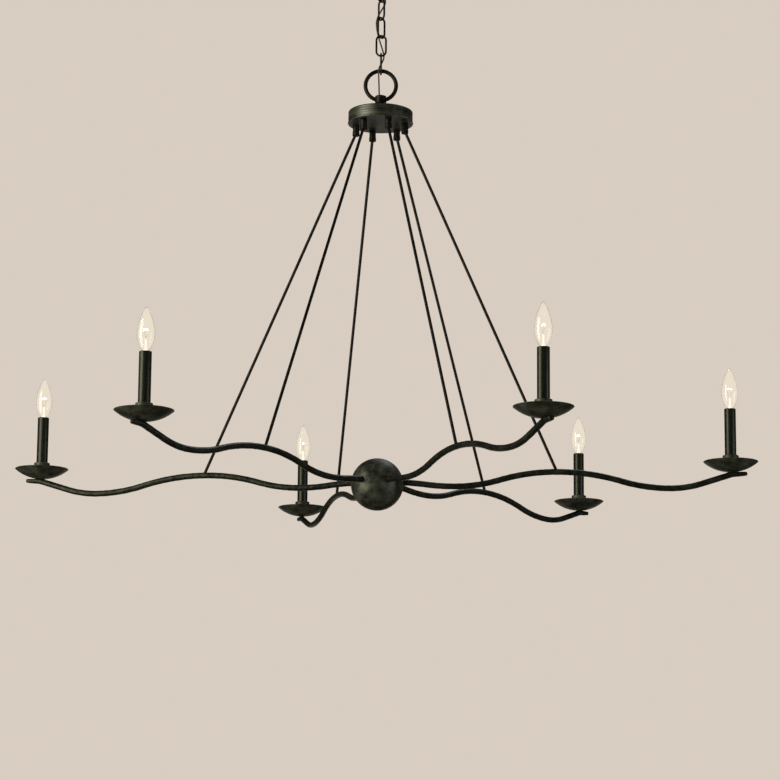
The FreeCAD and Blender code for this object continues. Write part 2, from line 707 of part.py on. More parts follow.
six_of("candle_sleeves", sleeve_master, candle_places)
bulb_foot = val("bulb_foot_level") - cup_foot
socket_master = turned("socket", [
    (4.85, seat_floor + 2), (dim("socket_radius"), seat_floor + 2), (dim("socket_radius"), sleeve_top - 1),
    (dim("socket_bore"), sleeve_top - 1), (dim("socket_bore"), bulb_foot - 3),
    (dim("stem_bore"), bulb_foot - 3), (dim("stem_bore"), seat_floor + 10.2), (4.85, seat_floor + 10.2),
])
six_of("lamp_sockets", socket_master, candle_places)

# ---- the bulbs: a screw base and a torpedo glass

base_top = 17.5
glass_height = val("bulb_tip_level") - val("bulb_foot_level")
for side, angle in bearings.items():
    place = bearing_place(angle, val("candle_reach"), val("bulb_foot_level"))
    keep("bulb_base_" + side, turned("bulb_base_" + side, [
        (0, 0), (2.4, 0), (2.8, 2.4), (4.6, 3.6), (dim("bulb_base_radius"), 4.6),
        (dim("bulb_base_radius"), base_top), (0, base_top),
    ], place))
    keep("bulb_glass_" + side, turned("bulb_glass_" + side, [
        (0, base_top + 0.05), (5.6, base_top + 0.05), (dim("bulb_radius"), 47, 12.8, 31),
        (1.4, glass_height - 1.2, 11.6, 74), (0, glass_height),
        (0, glass_height - 3), (dim("bulb_radius") - 0.8, 47, 10.7, 74),
        (4.6, base_top + 1.2, 12, 31.2), (0, base_top + 1.2),
    ], place))

# ---- the lamp wires: from the splice in the hub, down a rod, along an arm and up to a socket

splice_foot = level(val("hub_bottom_level") + 3)
splice_radius = 8
wires = [Part.makeCylinder(splice_radius, splice_top - splice_foot, V(0, 0, splice_foot))]
wire_height = level(val("hub_bottom_level") + 9)
for side in sides:
    turn = bearing_place(bearings[side])
    foot, way, _ = rod_lines[side]
    boss = beside(boss_bearings[side], val("boss_circle"), 0)
    # The rod's line passes closest to the boss's axis at this point.
    meet = way * ((boss - foot).dot(V(way.x, way.y, 0)) / (way.x ** 2 + way.y ** 2)) + foot
    points = [
        beside(boss_bearings[side], splice_radius - 0.2, wire_height),
        V(boss.x, boss.y, wire_height),
        V(boss.x, boss.y, meet.z),
        foot,
    ]
    bends = [4, 14, 4]
    arm_points = side_points(arm_corners[5:-2])
    arm_points += side_points([climb_point(val("candle_reach"))])
    arm_points.append(V(val("candle_reach"), 0, val("bulb_foot_level") - 3.2))
    points += [turn.multVec(point) for point in arm_points]
    bends += [arm_bends[4] * 0.94, arm_bends[5], arm_bends[6], 3]
    wires.append(swept(rounded_path(points, bends), val("wire_radius")))
keep("lamp_wiring", solid("lamp_wiring", Part.makeCompound(wires)))

# ---- check and write every piece

doc.recompute()
failed = [item.Name for item in doc.Objects if "Invalid" in item.State or "Error" in item.State]
for name, item in nodes.items():
    if item.Shape.isNull() or not item.Shape.isValid() or not item.Shape.Solids:
        failed.append(name)
if failed:
    raise RuntimeError("these pieces failed: " + ", ".join(failed))
os.makedirs("parts", exist_ok=True)
for name, item in nodes.items():
    item.Shape.exportStep(f"parts/{name}.step")
print(len(nodes), "pieces written")
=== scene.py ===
import json
import math
import bmesh
import bpy
from mathutils import Matrix, Vector


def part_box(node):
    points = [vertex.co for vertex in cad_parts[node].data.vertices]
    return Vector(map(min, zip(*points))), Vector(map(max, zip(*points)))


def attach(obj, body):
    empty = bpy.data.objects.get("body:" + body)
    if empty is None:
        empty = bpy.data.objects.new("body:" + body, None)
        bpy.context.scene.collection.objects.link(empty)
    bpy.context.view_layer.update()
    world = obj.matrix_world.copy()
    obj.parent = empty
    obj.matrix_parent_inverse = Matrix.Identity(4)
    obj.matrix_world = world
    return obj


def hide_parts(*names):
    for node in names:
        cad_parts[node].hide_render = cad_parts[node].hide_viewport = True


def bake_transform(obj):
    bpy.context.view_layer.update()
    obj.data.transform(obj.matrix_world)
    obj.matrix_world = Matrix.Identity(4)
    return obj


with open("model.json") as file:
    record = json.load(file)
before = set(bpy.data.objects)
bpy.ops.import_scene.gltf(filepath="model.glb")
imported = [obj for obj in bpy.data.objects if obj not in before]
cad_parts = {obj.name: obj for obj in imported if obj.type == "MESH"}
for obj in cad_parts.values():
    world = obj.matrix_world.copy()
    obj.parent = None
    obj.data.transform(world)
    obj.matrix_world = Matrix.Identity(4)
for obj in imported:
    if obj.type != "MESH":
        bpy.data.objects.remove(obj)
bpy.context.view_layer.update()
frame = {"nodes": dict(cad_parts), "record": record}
mm = 0.001
sides = ["right", "back_right", "back_left", "left", "front_left", "front_right"]
print("frame loaded:", len(frame["nodes"]), "nodes")


def addNode(tree, kind, settings=None, links=None):
    node = tree.nodes.new(kind)
    for key, value in (settings or {}).items():
        if isinstance(key, str) and hasattr(node, key):
            setattr(node, key, value)
        else:
            node.inputs[key].default_value = value
    for key, source in (links or {}).items():
        tree.links.new(source.outputs[0] if hasattr(source, "outputs") else source, node.inputs[key])
    return node


def hexColour(text):  # an sRGB hex value as linear light, with full alpha
    parts = [int(text[i:i + 2], 16) / 255 for i in (1, 3, 5)]
    return tuple(p / 12.92 if p <= 0.04045 else ((p + 0.055) / 1.055) ** 2.4 for p in parts) + (1.0,)


# Places that everything else is measured from: the ball's centre, the arms' bearings and the candles.
ballZ = (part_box("ball_lower")[0].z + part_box("ball_upper")[1].z) / 2
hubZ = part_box("hub_plate")[0].z
cupMiddle = {side: sum(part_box("cup_" + side), Vector()) / 2 for side in sides}
bearing = {side: math.atan2(cupMiddle[side].y, cupMiddle[side].x) for side in sides}
candleReach = math.hypot(cupMiddle["left"].x, cupMiddle["left"].y)


def alongArm(side, reach=0.0):  # the arm's own space: X out along it, Z up from the ball's centre
    turned = Matrix.Translation((0, 0, ballZ)) @ Matrix.Rotation(bearing[side], 4, "Z")
    return turned @ Matrix.Translation((reach, 0, 0))


# ---- camera, floor and light

camera = {"place": (0, -4.8773, -1.7978), "pitch": 0.1833, "yaw": 0.0048, "roll": 0.0084, "lens": 117.4}
cameraData = bpy.data.cameras.new("camera")
cameraData.lens = camera["lens"]
cameraData.sensor_width = 36
cameraObject = bpy.data.objects.new("camera", cameraData)
bpy.context.scene.collection.objects.link(cameraObject)
cameraObject.matrix_world = (
    Matrix.Translation(camera["place"])
    @ Matrix.Rotation(-camera["yaw"], 4, "Z")
    @ Matrix.Rotation(math.pi / 2 + camera["pitch"], 4, "X")
    @ Matrix.Rotation(camera["roll"], 4, "Z")
)
bpy.context.scene.camera = cameraObject

studio = {
    "wall": "#ddd2c5", "wallStrength": 0.95, "reflectedStrength": 0.085, "floor": "#f8f6f3", "floorZ": -2.6,
    "floorSize": 60, "lampsAimAt": (0, 0, -0.85),
}
bpy.context.scene.view_settings.view_transform = "Standard"
world = bpy.data.worlds.new("paleRoom")
world.use_nodes = True
room = world.node_tree
paleWall = room.nodes["Background"]
paleWall.inputs["Color"].default_value = hexColour(studio["wall"])
paleWall.inputs["Strength"].default_value = studio["wallStrength"]
# The dark iron mirrors a dim room, so that only the lamps make its highlights.
dimRoom = addNode(room, "ShaderNodeBackground", {"Color": hexColour(studio["wall"]),
                                                 "Strength": studio["reflectedStrength"]})
rays = addNode(room, "ShaderNodeLightPath")
mirrored = addNode(room, "ShaderNodeMath", {"operation": "SUBTRACT", "use_clamp": True},
                   {0: rays.outputs["Is Glossy Ray"], 1: rays.outputs["Is Transmission Ray"]})
seen = addNode(room, "ShaderNodeMixShader", links={0: mirrored, 1: paleWall, 2: dimRoom})
room.links.new(seen.outputs[0], room.nodes["World Output"].inputs["Surface"])
bpy.context.scene.world = world

lamps = [  # name, place, width, height, watts, colour
    ("windowLight", (-2.5, -1.5, -0.75), 1.7, 3.5, 118, "#fff8ee"),
    ("fillLight", (3.7, -1.6, -1.3), 1.4, 2.6, 34, "#f4f5ff"),
    ("farWallGlow", (0.2, 4.2, -1.75), 3.4, 0.9, 9, "#fff8f0"),
    ("skyLight", (1.2, 2.0, 2.3), 1.8, 1.8, 34, "#f8faff"),
]
unlit = bpy.data.collections.new("notLitByLamps")  # the floor has only the even light of the room
for name, place, width, height, watts, colour in lamps:
    lampData = bpy.data.lights.new(name, "AREA")
    lampData.shape = "RECTANGLE"
    lampData.size = width
    lampData.size_y = height
    lampData.energy = watts
    lampData.color = hexColour(colour)[:3]
    lamp = bpy.data.objects.new(name, lampData)
    bpy.context.scene.collection.objects.link(lamp)
    lamp.visible_camera = lamp.visible_transmission = False
    lamp.light_linking.receiver_collection = unlit
    lamp.location = place
    aim = Vector(studio["lampsAimAt"]) - Vector(place)
    lamp.rotation_euler = aim.to_track_quat("-Z", "Y").to_euler()
print("camera and lights set")


# ---- finishes

def newMaterial(name):
    material = bpy.data.materials.new(name)
    material.use_nodes = True
    tree = material.node_tree
    tree.nodes.clear()
    shader = addNode(tree, "ShaderNodeBsdfPrincipled")
    addNode(tree, "ShaderNodeOutputMaterial", links={"Surface": shader})
    return material, tree, shader


def blackenedIron(name, look):
    # Wrought iron under a baked dark wax: low sheen, cloudy green-grey patches, rubbed brown in places.
    material, tree, shader = newMaterial(name)
    place = addNode(tree, "ShaderNodeTexCoord").outputs["Object"]
    stretch = look.get("stretch", (1, 1, 1))
    stretched = addNode(tree, "ShaderNodeMapping", {"Scale": stretch}, {"Vector": place})
    cloud = addNode(tree, "ShaderNodeTexNoise", {"Scale": 1 / look["patch"], "Detail": 5, "Roughness": 0.62},
                    {"Vector": place})
    brush = addNode(tree, "ShaderNodeTexNoise", {"Scale": 1 / look["grain"], "Detail": 3},
                    {"Vector": stretched})
    elsewhere = addNode(tree, "ShaderNodeMapping", {"Location": (3.1, 1.7, 2.3)}, {"Vector": place})
    rub = addNode(tree, "ShaderNodeTexNoise", {"Scale": 0.6 / look["patch"], "Detail": 6, "Roughness": 0.7},
                  {"Vector": elsewhere})
    tone = addNode(tree, "ShaderNodeValToRGB", links={"Fac": cloud})
    tone.color_ramp.elements[0].position, tone.color_ramp.elements[1].position = 0.38, 0.68
    tone.color_ramp.elements[0].color = hexColour(look["dark"])
    tone.color_ramp.elements[1].color = hexColour(look["light"])
    rubbed = addNode(tree, "ShaderNodeMapRange", {"From Min": 0.58, "From Max": 0.74, "To Max": look["rub"]},
                     {"Value": rub})
    brown = addNode(tree, "ShaderNodeMix", {"data_type": "RGBA", 7: hexColour("#4a3d2c")},
                    {0: rubbed, 6: tone})
    streak = addNode(tree, "ShaderNodeMapRange", {"From Min": 0.35, "From Max": 0.7, "To Max": look["streak"]},
                     {"Value": brush})
    colour = addNode(tree, "ShaderNodeMix", {"data_type": "RGBA", 7: hexColour(look["light"])},
                     {0: streak, 6: brown.outputs[2]})
    rough = addNode(tree, "ShaderNodeMapRange", {
        "From Min": 0.3, "From Max": 0.7, "To Min": look["rough"] - 0.09, "To Max": look["rough"] + 0.1},
        {"Value": cloud})
    dents = addNode(tree, "ShaderNodeTexVoronoi", {
        "feature": "SMOOTH_F1", "Scale": 1 / look["dent"], "Smoothness": 0.6}, {"Vector": place})
    dentBump = addNode(tree, "ShaderNodeBump", {"Strength": 0.6, "Distance": look["dentDepth"]},
                       {"Height": dents})
    grainBump = addNode(tree, "ShaderNodeBump", {"Strength": 0.5, "Distance": look["grainDepth"]},
                        {"Height": brush, "Normal": dentBump})
    tree.links.new(colour.outputs[2], shader.inputs["Base Color"])
    tree.links.new(rough.outputs[0], shader.inputs["Roughness"])
    tree.links.new(grainBump.outputs[0], shader.inputs["Normal"])
    shader.inputs["Metallic"].default_value = look["metallic"]
    shader.inputs["Specular IOR Level"].default_value = 0.4
    return material


def plainFinish(name, look):
    # Moulded, plated or drawn stock: an even colour, broken by faint clouding and a fine grain.
    material, tree, shader = newMaterial(name)
    place = addNode(tree, "ShaderNodeTexCoord").outputs["Object"]
    stretch = look.get("stretch", (1, 1, 1))
    stretched = addNode(tree, "ShaderNodeMapping", {"Scale": stretch}, {"Vector": place})
    grain = addNode(tree, "ShaderNodeTexNoise", {"Scale": 1 / look["grain"], "Detail": 4},
                    {"Vector": stretched})
    tone = addNode(tree, "ShaderNodeValToRGB", links={"Fac": grain})
    tone.color_ramp.elements[0].position, tone.color_ramp.elements[1].position = 0.3, 0.72
    tone.color_ramp.elements[0].color = hexColour(look["dark"])
    tone.color_ramp.elements[1].color = hexColour(look["light"])
    rough = addNode(tree, "ShaderNodeMapRange", {
        "To Min": look["rough"] - 0.06, "To Max": look["rough"] + 0.06}, {"Value": grain})
    bump = addNode(tree, "ShaderNodeBump", {"Strength": 0.4, "Distance": look["depth"]}, {"Height": grain})
    tree.links.new(tone.outputs[0], shader.inputs["Base Color"])
    tree.links.new(rough.outputs[0], shader.inputs["Roughness"])
    tree.links.new(bump.outputs[0], shader.inputs["Normal"])
    shader.inputs["Metallic"].default_value = look["metallic"]
    return material


ironLook = {
    "patch": 16 * mm, "grain": 1.1 * mm, "dark": "#1d1f19", "light": "#383b31", "rub": 0.5, "streak": 0.25,
    "rough": 0.42, "dent": 7 * mm, "dentDepth": 0.35 * mm, "grainDepth": 0.05 * mm, "metallic": 0.8,
}
# Arms are hammered bar: close dents, a worn brown in patches.
hammeredBar = blackenedIron("hammeredBar", ironLook)
# The hub is spun sheet, brushed round its side, so its grain is drawn out into level lines.
spunHub = blackenedIron("spunHub", {
    **ironLook, "stretch": (1, 1, 24), "grain": 90 * mm, "streak": 0.9, "rub": 0.2, "patch": 45 * mm,
    "dentDepth": 0.04 * mm, "grainDepth": 0.3 * mm, "dark": "#1b1d18", "light": "#5f6257", "rough": 0.4})
# The ball is pressed sheet under the same wax, with broad clouds of grey.
cloudedBall = blackenedIron("cloudedBall", {
    **ironLook, "patch": 24 * mm, "dent": 11 * mm, "light": "#5a5f50", "dark": "#171914", "rub": 0.7,
    "rough": 0.5})
# The cups are spun dishes, smoother than the arms.
spunCup = blackenedIron("spunCup", {
    **ironLook, "patch": 20 * mm, "dent": 9 * mm, "dentDepth": 0.18 * mm, "dark": "#2f3229",
    "light": "#5a5f50", "rough": 0.53})
# Chain, ring and rods are drawn wire and tube.
drawnWire = blackenedIron("drawnWire", {
    **ironLook, "patch": 9 * mm, "dentDepth": 0.1 * mm, "dark": "#12110e", "light": "#2a2821", "rub": 0.6})
# The sleeves are drawn tube in satin enamel, with faint lengthwise draw lines.
satinSleeve = plainFinish("satinSleeve", {
    "dark": "#1f211a", "light": "#35382d", "grain": 12 * mm, "stretch": (14, 14, 1), "rough": 0.34,
    "depth": 0.03 * mm, "metallic": 0.8})
zincSteel = plainFinish("zincSteel", {  # the strap, the nipple and the nuts, zinc plated
    "dark": "#8d8c86", "light": "#b9b8b2", "grain": 3 * mm, "rough": 0.38, "depth": 0.02 * mm,
    "metallic": 1.0})
castBlock = plainFinish("castBlock", {  # the arm hub inside the ball, as cast
    "dark": "#3a3a38", "light": "#5c5b57", "grain": 2 * mm, "rough": 0.6, "depth": 0.1 * mm, "metallic": 0.8})
phenolic = plainFinish("phenolic", {  # the lamp sockets, moulded
    "dark": "#141312", "light": "#22201e", "grain": 1.5 * mm, "rough": 0.45, "depth": 0.02 * mm,
    "metallic": 0.0})
vinylSheath = plainFinish("vinylSheath", {  # the supply cord, extruded brown vinyl
    "dark": "#2a2118", "light": "#3b3024", "grain": 2 * mm, "rough": 0.42, "depth": 0.02 * mm,
    "metallic": 0.0})
wireInsulation = plainFinish("wireInsulation", {  # the lamp wires, extruded
    "dark": "#1b1b1b", "light": "#2a2a29", "grain": 2 * mm, "rough": 0.5, "depth": 0.02 * mm,
    "metallic": 0.0})
nylonNut = plainFinish("nylonNut", {  # the wire nuts, moulded
    "dark": "#b5521a", "light": "#d0692c", "grain": 3 * mm, "rough": 0.4, "depth": 0.02 * mm, "metallic": 0.0})
pressedBrass = plainFinish("pressedBrass", {  # the bulbs' screw shells
    "dark": "#a98845", "light": "#cfb271", "grain": 2 * mm, "rough": 0.28, "depth": 0.02 * mm,
    "metallic": 1.0})
leadWire = plainFinish("leadWire", {  # nickel wire that holds the filament
    "dark": "#8f8a80", "light": "#b8b2a5", "grain": 2 * mm, "rough": 0.3, "depth": 0.01 * mm, "metallic": 1.0})
blackGlass = plainFinish("blackGlass", {  # the insulator at the foot of each screw shell
    "dark": "#0b0b0c", "light": "#151518", "grain": 3 * mm, "rough": 0.12, "depth": 0.01 * mm,
    "metallic": 0.0})


def blownGlass(name, paintedGlow):
    # Clear soda-lime glass, blown thin. Its emission is painted light: a faint warm glow painted on the glass
    # itself, standing in for the filament's light scattered in it.
    material, tree, shader = newMaterial(name)
    place = addNode(tree, "ShaderNodeTexCoord").outputs["Object"]
    ripple = addNode(tree, "ShaderNodeTexNoise", {"Scale": 1 / (9 * mm), "Detail": 1}, {"Vector": place})
    bump = addNode(tree, "ShaderNodeBump", {"Strength": 0.25, "Distance": 0.3 * mm}, {"Height": ripple})
    rough = addNode(tree, "ShaderNodeMapRange", {"To Min": 0.0, "To Max": 0.05}, {"Value": ripple})
    tree.links.new(bump.outputs[0], shader.inputs["Normal"])
    tree.links.new(rough.outputs[0], shader.inputs["Roughness"])
    shader.inputs["Base Color"].default_value = hexColour("#fdfcf8")
    shader.inputs["IOR"].default_value = 1.5
    shader.inputs["Transmission Weight"].default_value = 1.0
    # painted glow: the glass gives off warm light of its own
    shader.inputs["Emission Color"].default_value = hexColour("#fff8ec")
    shader.inputs["Emission Strength"].default_value = paintedGlow
    return material


def hotTungsten(name):
    # A tungsten coil at white heat.
    material, tree, shader = newMaterial(name)
    place = addNode(tree, "ShaderNodeTexCoord").outputs["Object"]
    heat = addNode(tree, "ShaderNodeTexNoise", {"Scale": 1 / (4 * mm), "Detail": 1}, {"Vector": place})
    tone = addNode(tree, "ShaderNodeValToRGB", links={"Fac": heat})
    tone.color_ramp.elements[0].color = hexColour("#ffdfa8")
    tone.color_ramp.elements[1].color = hexColour("#fff4de")
    tree.links.new(tone.outputs[0], shader.inputs["Base Color"])
    tree.links.new(tone.outputs[0], shader.inputs["Emission Color"])
    shader.inputs["Emission Strength"].default_value = 12
    return material


# painted glow on the bulb glass, and a stronger painted glow on the stem glass
bulbGlass = blownGlass("blownBulbGlassPaintedGlow", 0.05)
stemGlass = blownGlass("pressedStemGlassPaintedGlow", 0.2)
tungsten = hotTungsten("hotTungsten")


def paleFloor():
    # Matt paint, one even pale tone.
    material, tree, shader = newMaterial("paleFloor")
    shader.inputs["Base Color"].default_value = hexColour(studio["floor"])
    shader.inputs["Roughness"].default_value = 0.8
    return material


floorMesh = bpy.data.meshes.new("floor")
floorEdge = studio["floorSize"] / 2
floorCorners = [(x * floorEdge, y * floorEdge, studio["floorZ"])
                for x, y in ((-1, -1), (1, -1), (1, 1), (-1, 1))]
floorMesh.from_pydata(floorCorners, [], [(0, 1, 2, 3)])
floorMesh.materials.append(paleFloor())
floor = bpy.data.objects.new("floor", floorMesh)
floor.visible_glossy = False  # the iron mirrors the dim room below it too
bpy.context.scene.collection.objects.link(floor)
unlit.objects.link(floor)
unlit.collection_objects[0].light_linking.link_state = "EXCLUDE"
print("finishes made")


# ---- shared ways of making a piece

def finish(name, mesh, body, material=None, replaces=(), smooth=40):
    if material:
        mesh.materials.clear()
        mesh.materials.append(material)
    mesh.shade_smooth()
    if smooth:
        mesh.set_sharp_from_angle(angle=math.radians(smooth))
    piece = bpy.data.objects.new(name, mesh)
    bpy.context.scene.collection.objects.link(piece)
    if replaces:
        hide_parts(*replaces)
    if body:
        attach(piece, body)
    return piece


def softProfile(corners, closed=True, steps=4):  # (radius, height) or (radius, height, rounding), in mm
    points = []
    for index, corner in enumerate(corners):
        spot = Vector(corner[:2])
        isEnd = not closed and index in (0, len(corners) - 1)
        if len(corner) < 3 or isEnd:
            points.append(spot)
            continue
        before = Vector(corners[index - 1][:2]) - spot
        after = Vector(corners[(index + 1) % len(corners)][:2]) - spot
        wanted = corner[2] * math.tan((math.pi - before.angle(after)) / 2)
        cut = min(wanted, before.length * 0.45, after.length * 0.45)  # under half of either side
        start = spot + before.normalized() * cut
        end = spot + after.normalized() * cut
        for step in range(steps + 1):
            t = step / steps
            points.append(start * (1 - t) ** 2 + spot * 2 * t * (1 - t) + end * t * t)
    return points


def arcThrough(start, via, end, steps):  # points of the circle arc through three points
    (ax, ay), (bx, by), (cx, cy) = start, via, end
    twice = 2 * (ax * (by - cy) + bx * (cy - ay) + cx * (ay - by))
    sa, sb, sc = ax * ax + ay * ay, bx * bx + by * by, cx * cx + cy * cy
    middle = Vector(((sa * (by - cy) + sb * (cy - ay) + sc * (ay - by)) / twice,
                     (sa * (cx - bx) + sb * (ax - cx) + sc * (bx - ax)) / twice))
    first, last = Vector(start) - middle, Vector(end) - middle
    turn = math.atan2(first.x * last.y - first.y * last.x, first.dot(last))
    return [middle + Matrix.Rotation(turn * step / steps, 2) @ first for step in range(steps + 1)]


def lathe(name, points, closed=True, steps=72, ripple=None):
    # Spins (radius, height) points in mm round Z. ripple(angle, radius, height) gives an offset in mm.
    bm = bmesh.new()
    rings = []
    for radius, height in points:
        if radius < 1e-6:
            rings.append([bm.verts.new((0, 0, height * mm))])
            continue
        ring = []
        for step in range(steps):
            angle = 2 * math.pi * step / steps
            wide = radius + (ripple(angle, radius, height) if ripple else 0)
            ring.append(bm.verts.new((wide * mm * math.cos(angle), wide * mm * math.sin(angle), height * mm)))
        rings.append(ring)
    pairs = list(zip(rings, rings[1:])) + ([(rings[-1], rings[0])] if closed else [])
    for low, high in pairs:
        for step in range(steps):
            corners = []
            for ring, shift in ((low, 0), (low, 1), (high, 1), (high, 0)):
                corner = ring[(step + shift) % len(ring)]
                if corner not in corners:
                    corners.append(corner)
            if len(corners) > 2:
                bm.faces.new(corners)
    bmesh.ops.recalc_face_normals(bm, faces=bm.faces)
    mesh = bpy.data.meshes.new(name)
    bm.to_mesh(mesh)
    bm.free()
    return mesh


def placed(mesh, matrix):
    copy = mesh.copy()
    copy.transform(matrix)
    return copy


def merged(name, meshes):
    bm = bmesh.new()
    for mesh in meshes:
        bm.from_mesh(mesh)
    whole = bpy.data.meshes.new(name)
    bm.to_mesh(whole)
    bm.free()
    return whole


def tube(name, points, radius, sides=12, caps=True):
    # A round tube along points in metres, with its frame carried along without twist.
    bm = bmesh.new()
    points = [Vector(point) for point in points]
    ways = [(b - a).normalized() for a, b in zip(points, points[1:])]
    ways = [ways[0]] + [(a + b).normalized() for a, b in zip(ways, ways[1:])] + [ways[-1]]
    across = ways[0].orthogonal().normalized()
    rings = []
    for point, way in zip(points, ways):
        across = (across - way * across.dot(way)).normalized()
        other = way.cross(across)
        rings.append([bm.verts.new(point + (across * math.cos(turn) + other * math.sin(turn)) * radius)
                      for turn in (2 * math.pi * k / sides for k in range(sides))])
    for low, high in zip(rings, rings[1:]):
        for k in range(sides):
            bm.faces.new((low[k], low[(k + 1) % sides], high[(k + 1) % sides], high[k]))
    if caps:
        bm.faces.new(list(reversed(rings[0])))
        bm.faces.new(rings[-1])
    bmesh.ops.recalc_face_normals(bm, faces=bm.faces)
    mesh = bpy.data.meshes.new(name)
    bm.to_mesh(mesh)
    bm.free()
    return mesh


def newTree(name, sizes):
    tree = bpy.data.node_groups.new(name, "GeometryNodeTree")
    tree.interface.new_socket("Geometry", in_out="INPUT", socket_type="NodeSocketGeometry")
    for label, (kind, value) in sizes.items():
        socket = tree.interface.new_socket(label, in_out="INPUT", socket_type="NodeSocket" + kind)
        if value is not None:
            socket.default_value = value
    tree.interface.new_socket("Geometry", in_out="OUTPUT", socket_type="NodeSocketGeometry")
    return tree, addNode(tree, "NodeGroupInput")


def closeTree(tree, geometry, material):
    real = addNode(tree, "GeometryNodeRealizeInstances", links={"Geometry": geometry})
    dressed = addNode(tree, "GeometryNodeSetMaterial", links={"Geometry": real, "Material": material})
    addNode(tree, "NodeGroupOutput", links={0: dressed})


def grown(name, seed, tree, sizes):  # runs the tree on a seed mesh and keeps its result as a plain mesh
    holder = bpy.data.objects.new(name + "Seed", seed)
    bpy.context.scene.collection.objects.link(holder)
    modifier = holder.modifiers.new(tree.name, "NODES")
    modifier.node_group = tree
    for item in tree.interface.items_tree:
        if item.in_out == "INPUT" and item.name in sizes:
            modifier[item.identifier] = sizes[item.name]
    bpy.context.view_layer.update()
    seen = holder.evaluated_get(bpy.context.evaluated_depsgraph_get())
    mesh = bpy.data.meshes.new_from_object(seen)
    mesh.name = name
    bpy.data.objects.remove(holder)
    return mesh


def seedPoints(name, spots, edges=(), **attributes):
    mesh = bpy.data.meshes.new(name)
    mesh.from_pydata(spots, edges, [])
    for label, values in attributes.items():
        mesh.attributes.new(label, "FLOAT", "POINT").data.foreach_set("value", values)
    return mesh


def dentNodes(tree, geometry, spacing, depth):  # hammer marks: every point moves in by up to depth
    marks = addNode(tree, "ShaderNodeTexVoronoi", {"feature": "SMOOTH_F1", "Smoothness": 0.7},
                    {"Vector": addNode(tree, "GeometryNodeInputPosition"),
                     "Scale": addNode(tree, "ShaderNodeMath", {"operation": "DIVIDE", 0: 1.0}, {1: spacing})})
    pushed = addNode(tree, "ShaderNodeMapRange", {
        "From Min": 0.0, "From Max": 0.7, "To Min": -1.0, "To Max": 0.0}, {"Value": marks.outputs["Distance"]})
    amount = addNode(tree, "ShaderNodeMath", {"operation": "MULTIPLY"}, {0: pushed, 1: depth})
    shift = addNode(tree, "ShaderNodeVectorMath", {"operation": "SCALE"},
                    {0: addNode(tree, "GeometryNodeInputNormal"), "Scale": amount})
    return addNode(tree, "GeometryNodeSetPosition", links={"Geometry": geometry, "Offset": shift})


# ---- the arms: a bar bent in one plane to an S of arcs, hammered, and flattened under the cup

arm = {
    "barRadius": 6.0, "root": (16, 4), "rootEnd": (40, 4), "dip": (150, -3.3), "arch": (347.5, 25.3),
    "trough": (566, -6.5), "climb": 17.5, "tailLevel": 22.0, "tip": 714.0, "troughBend": 200, "crestBend": 50,
    "shares": (0.5, 0.44, 0.57), "flatTop": 25.4, "underStart": (684.5, 15.1), "underSlope": 7.0,
    "tailFrom": 640.0, "dentSpacing": 8.0, "dentDepth": 0.4,
}


def armRoute():  # corners and the radius of the bend at each, in mm
    corners, bends = [arm["root"]], [0.0]
    stops = [arm["rootEnd"], arm["dip"], arm["arch"], arm["trough"]]
    for start, end, share in zip(stops, stops[1:], arm["shares"]):
        run, rise = end[0] - start[0], abs(end[1] - start[1])
        both = (run ** 2 + rise ** 2) / (2 * rise)
        slope = math.tan(math.asin(run / both) / 2)
        corners.append((start[0] + both * share * slope, start[1]))
        corners.append((end[0] - both * (1 - share) * slope, end[1]))
        bends += [both * share, both * (1 - share)]
    climb = math.radians(arm["climb"])
    foot = arm["trough"][0] + arm["troughBend"] * math.tan(climb / 2)
    crest = foot + (arm["tailLevel"] - arm["trough"][1]) / math.tan(climb)
    corners += [(foot, arm["trough"][1]), (crest, arm["tailLevel"]), (arm["tip"], arm["tailLevel"])]
    return corners, bends + [arm["troughBend"], arm["crestBend"], 0.0]


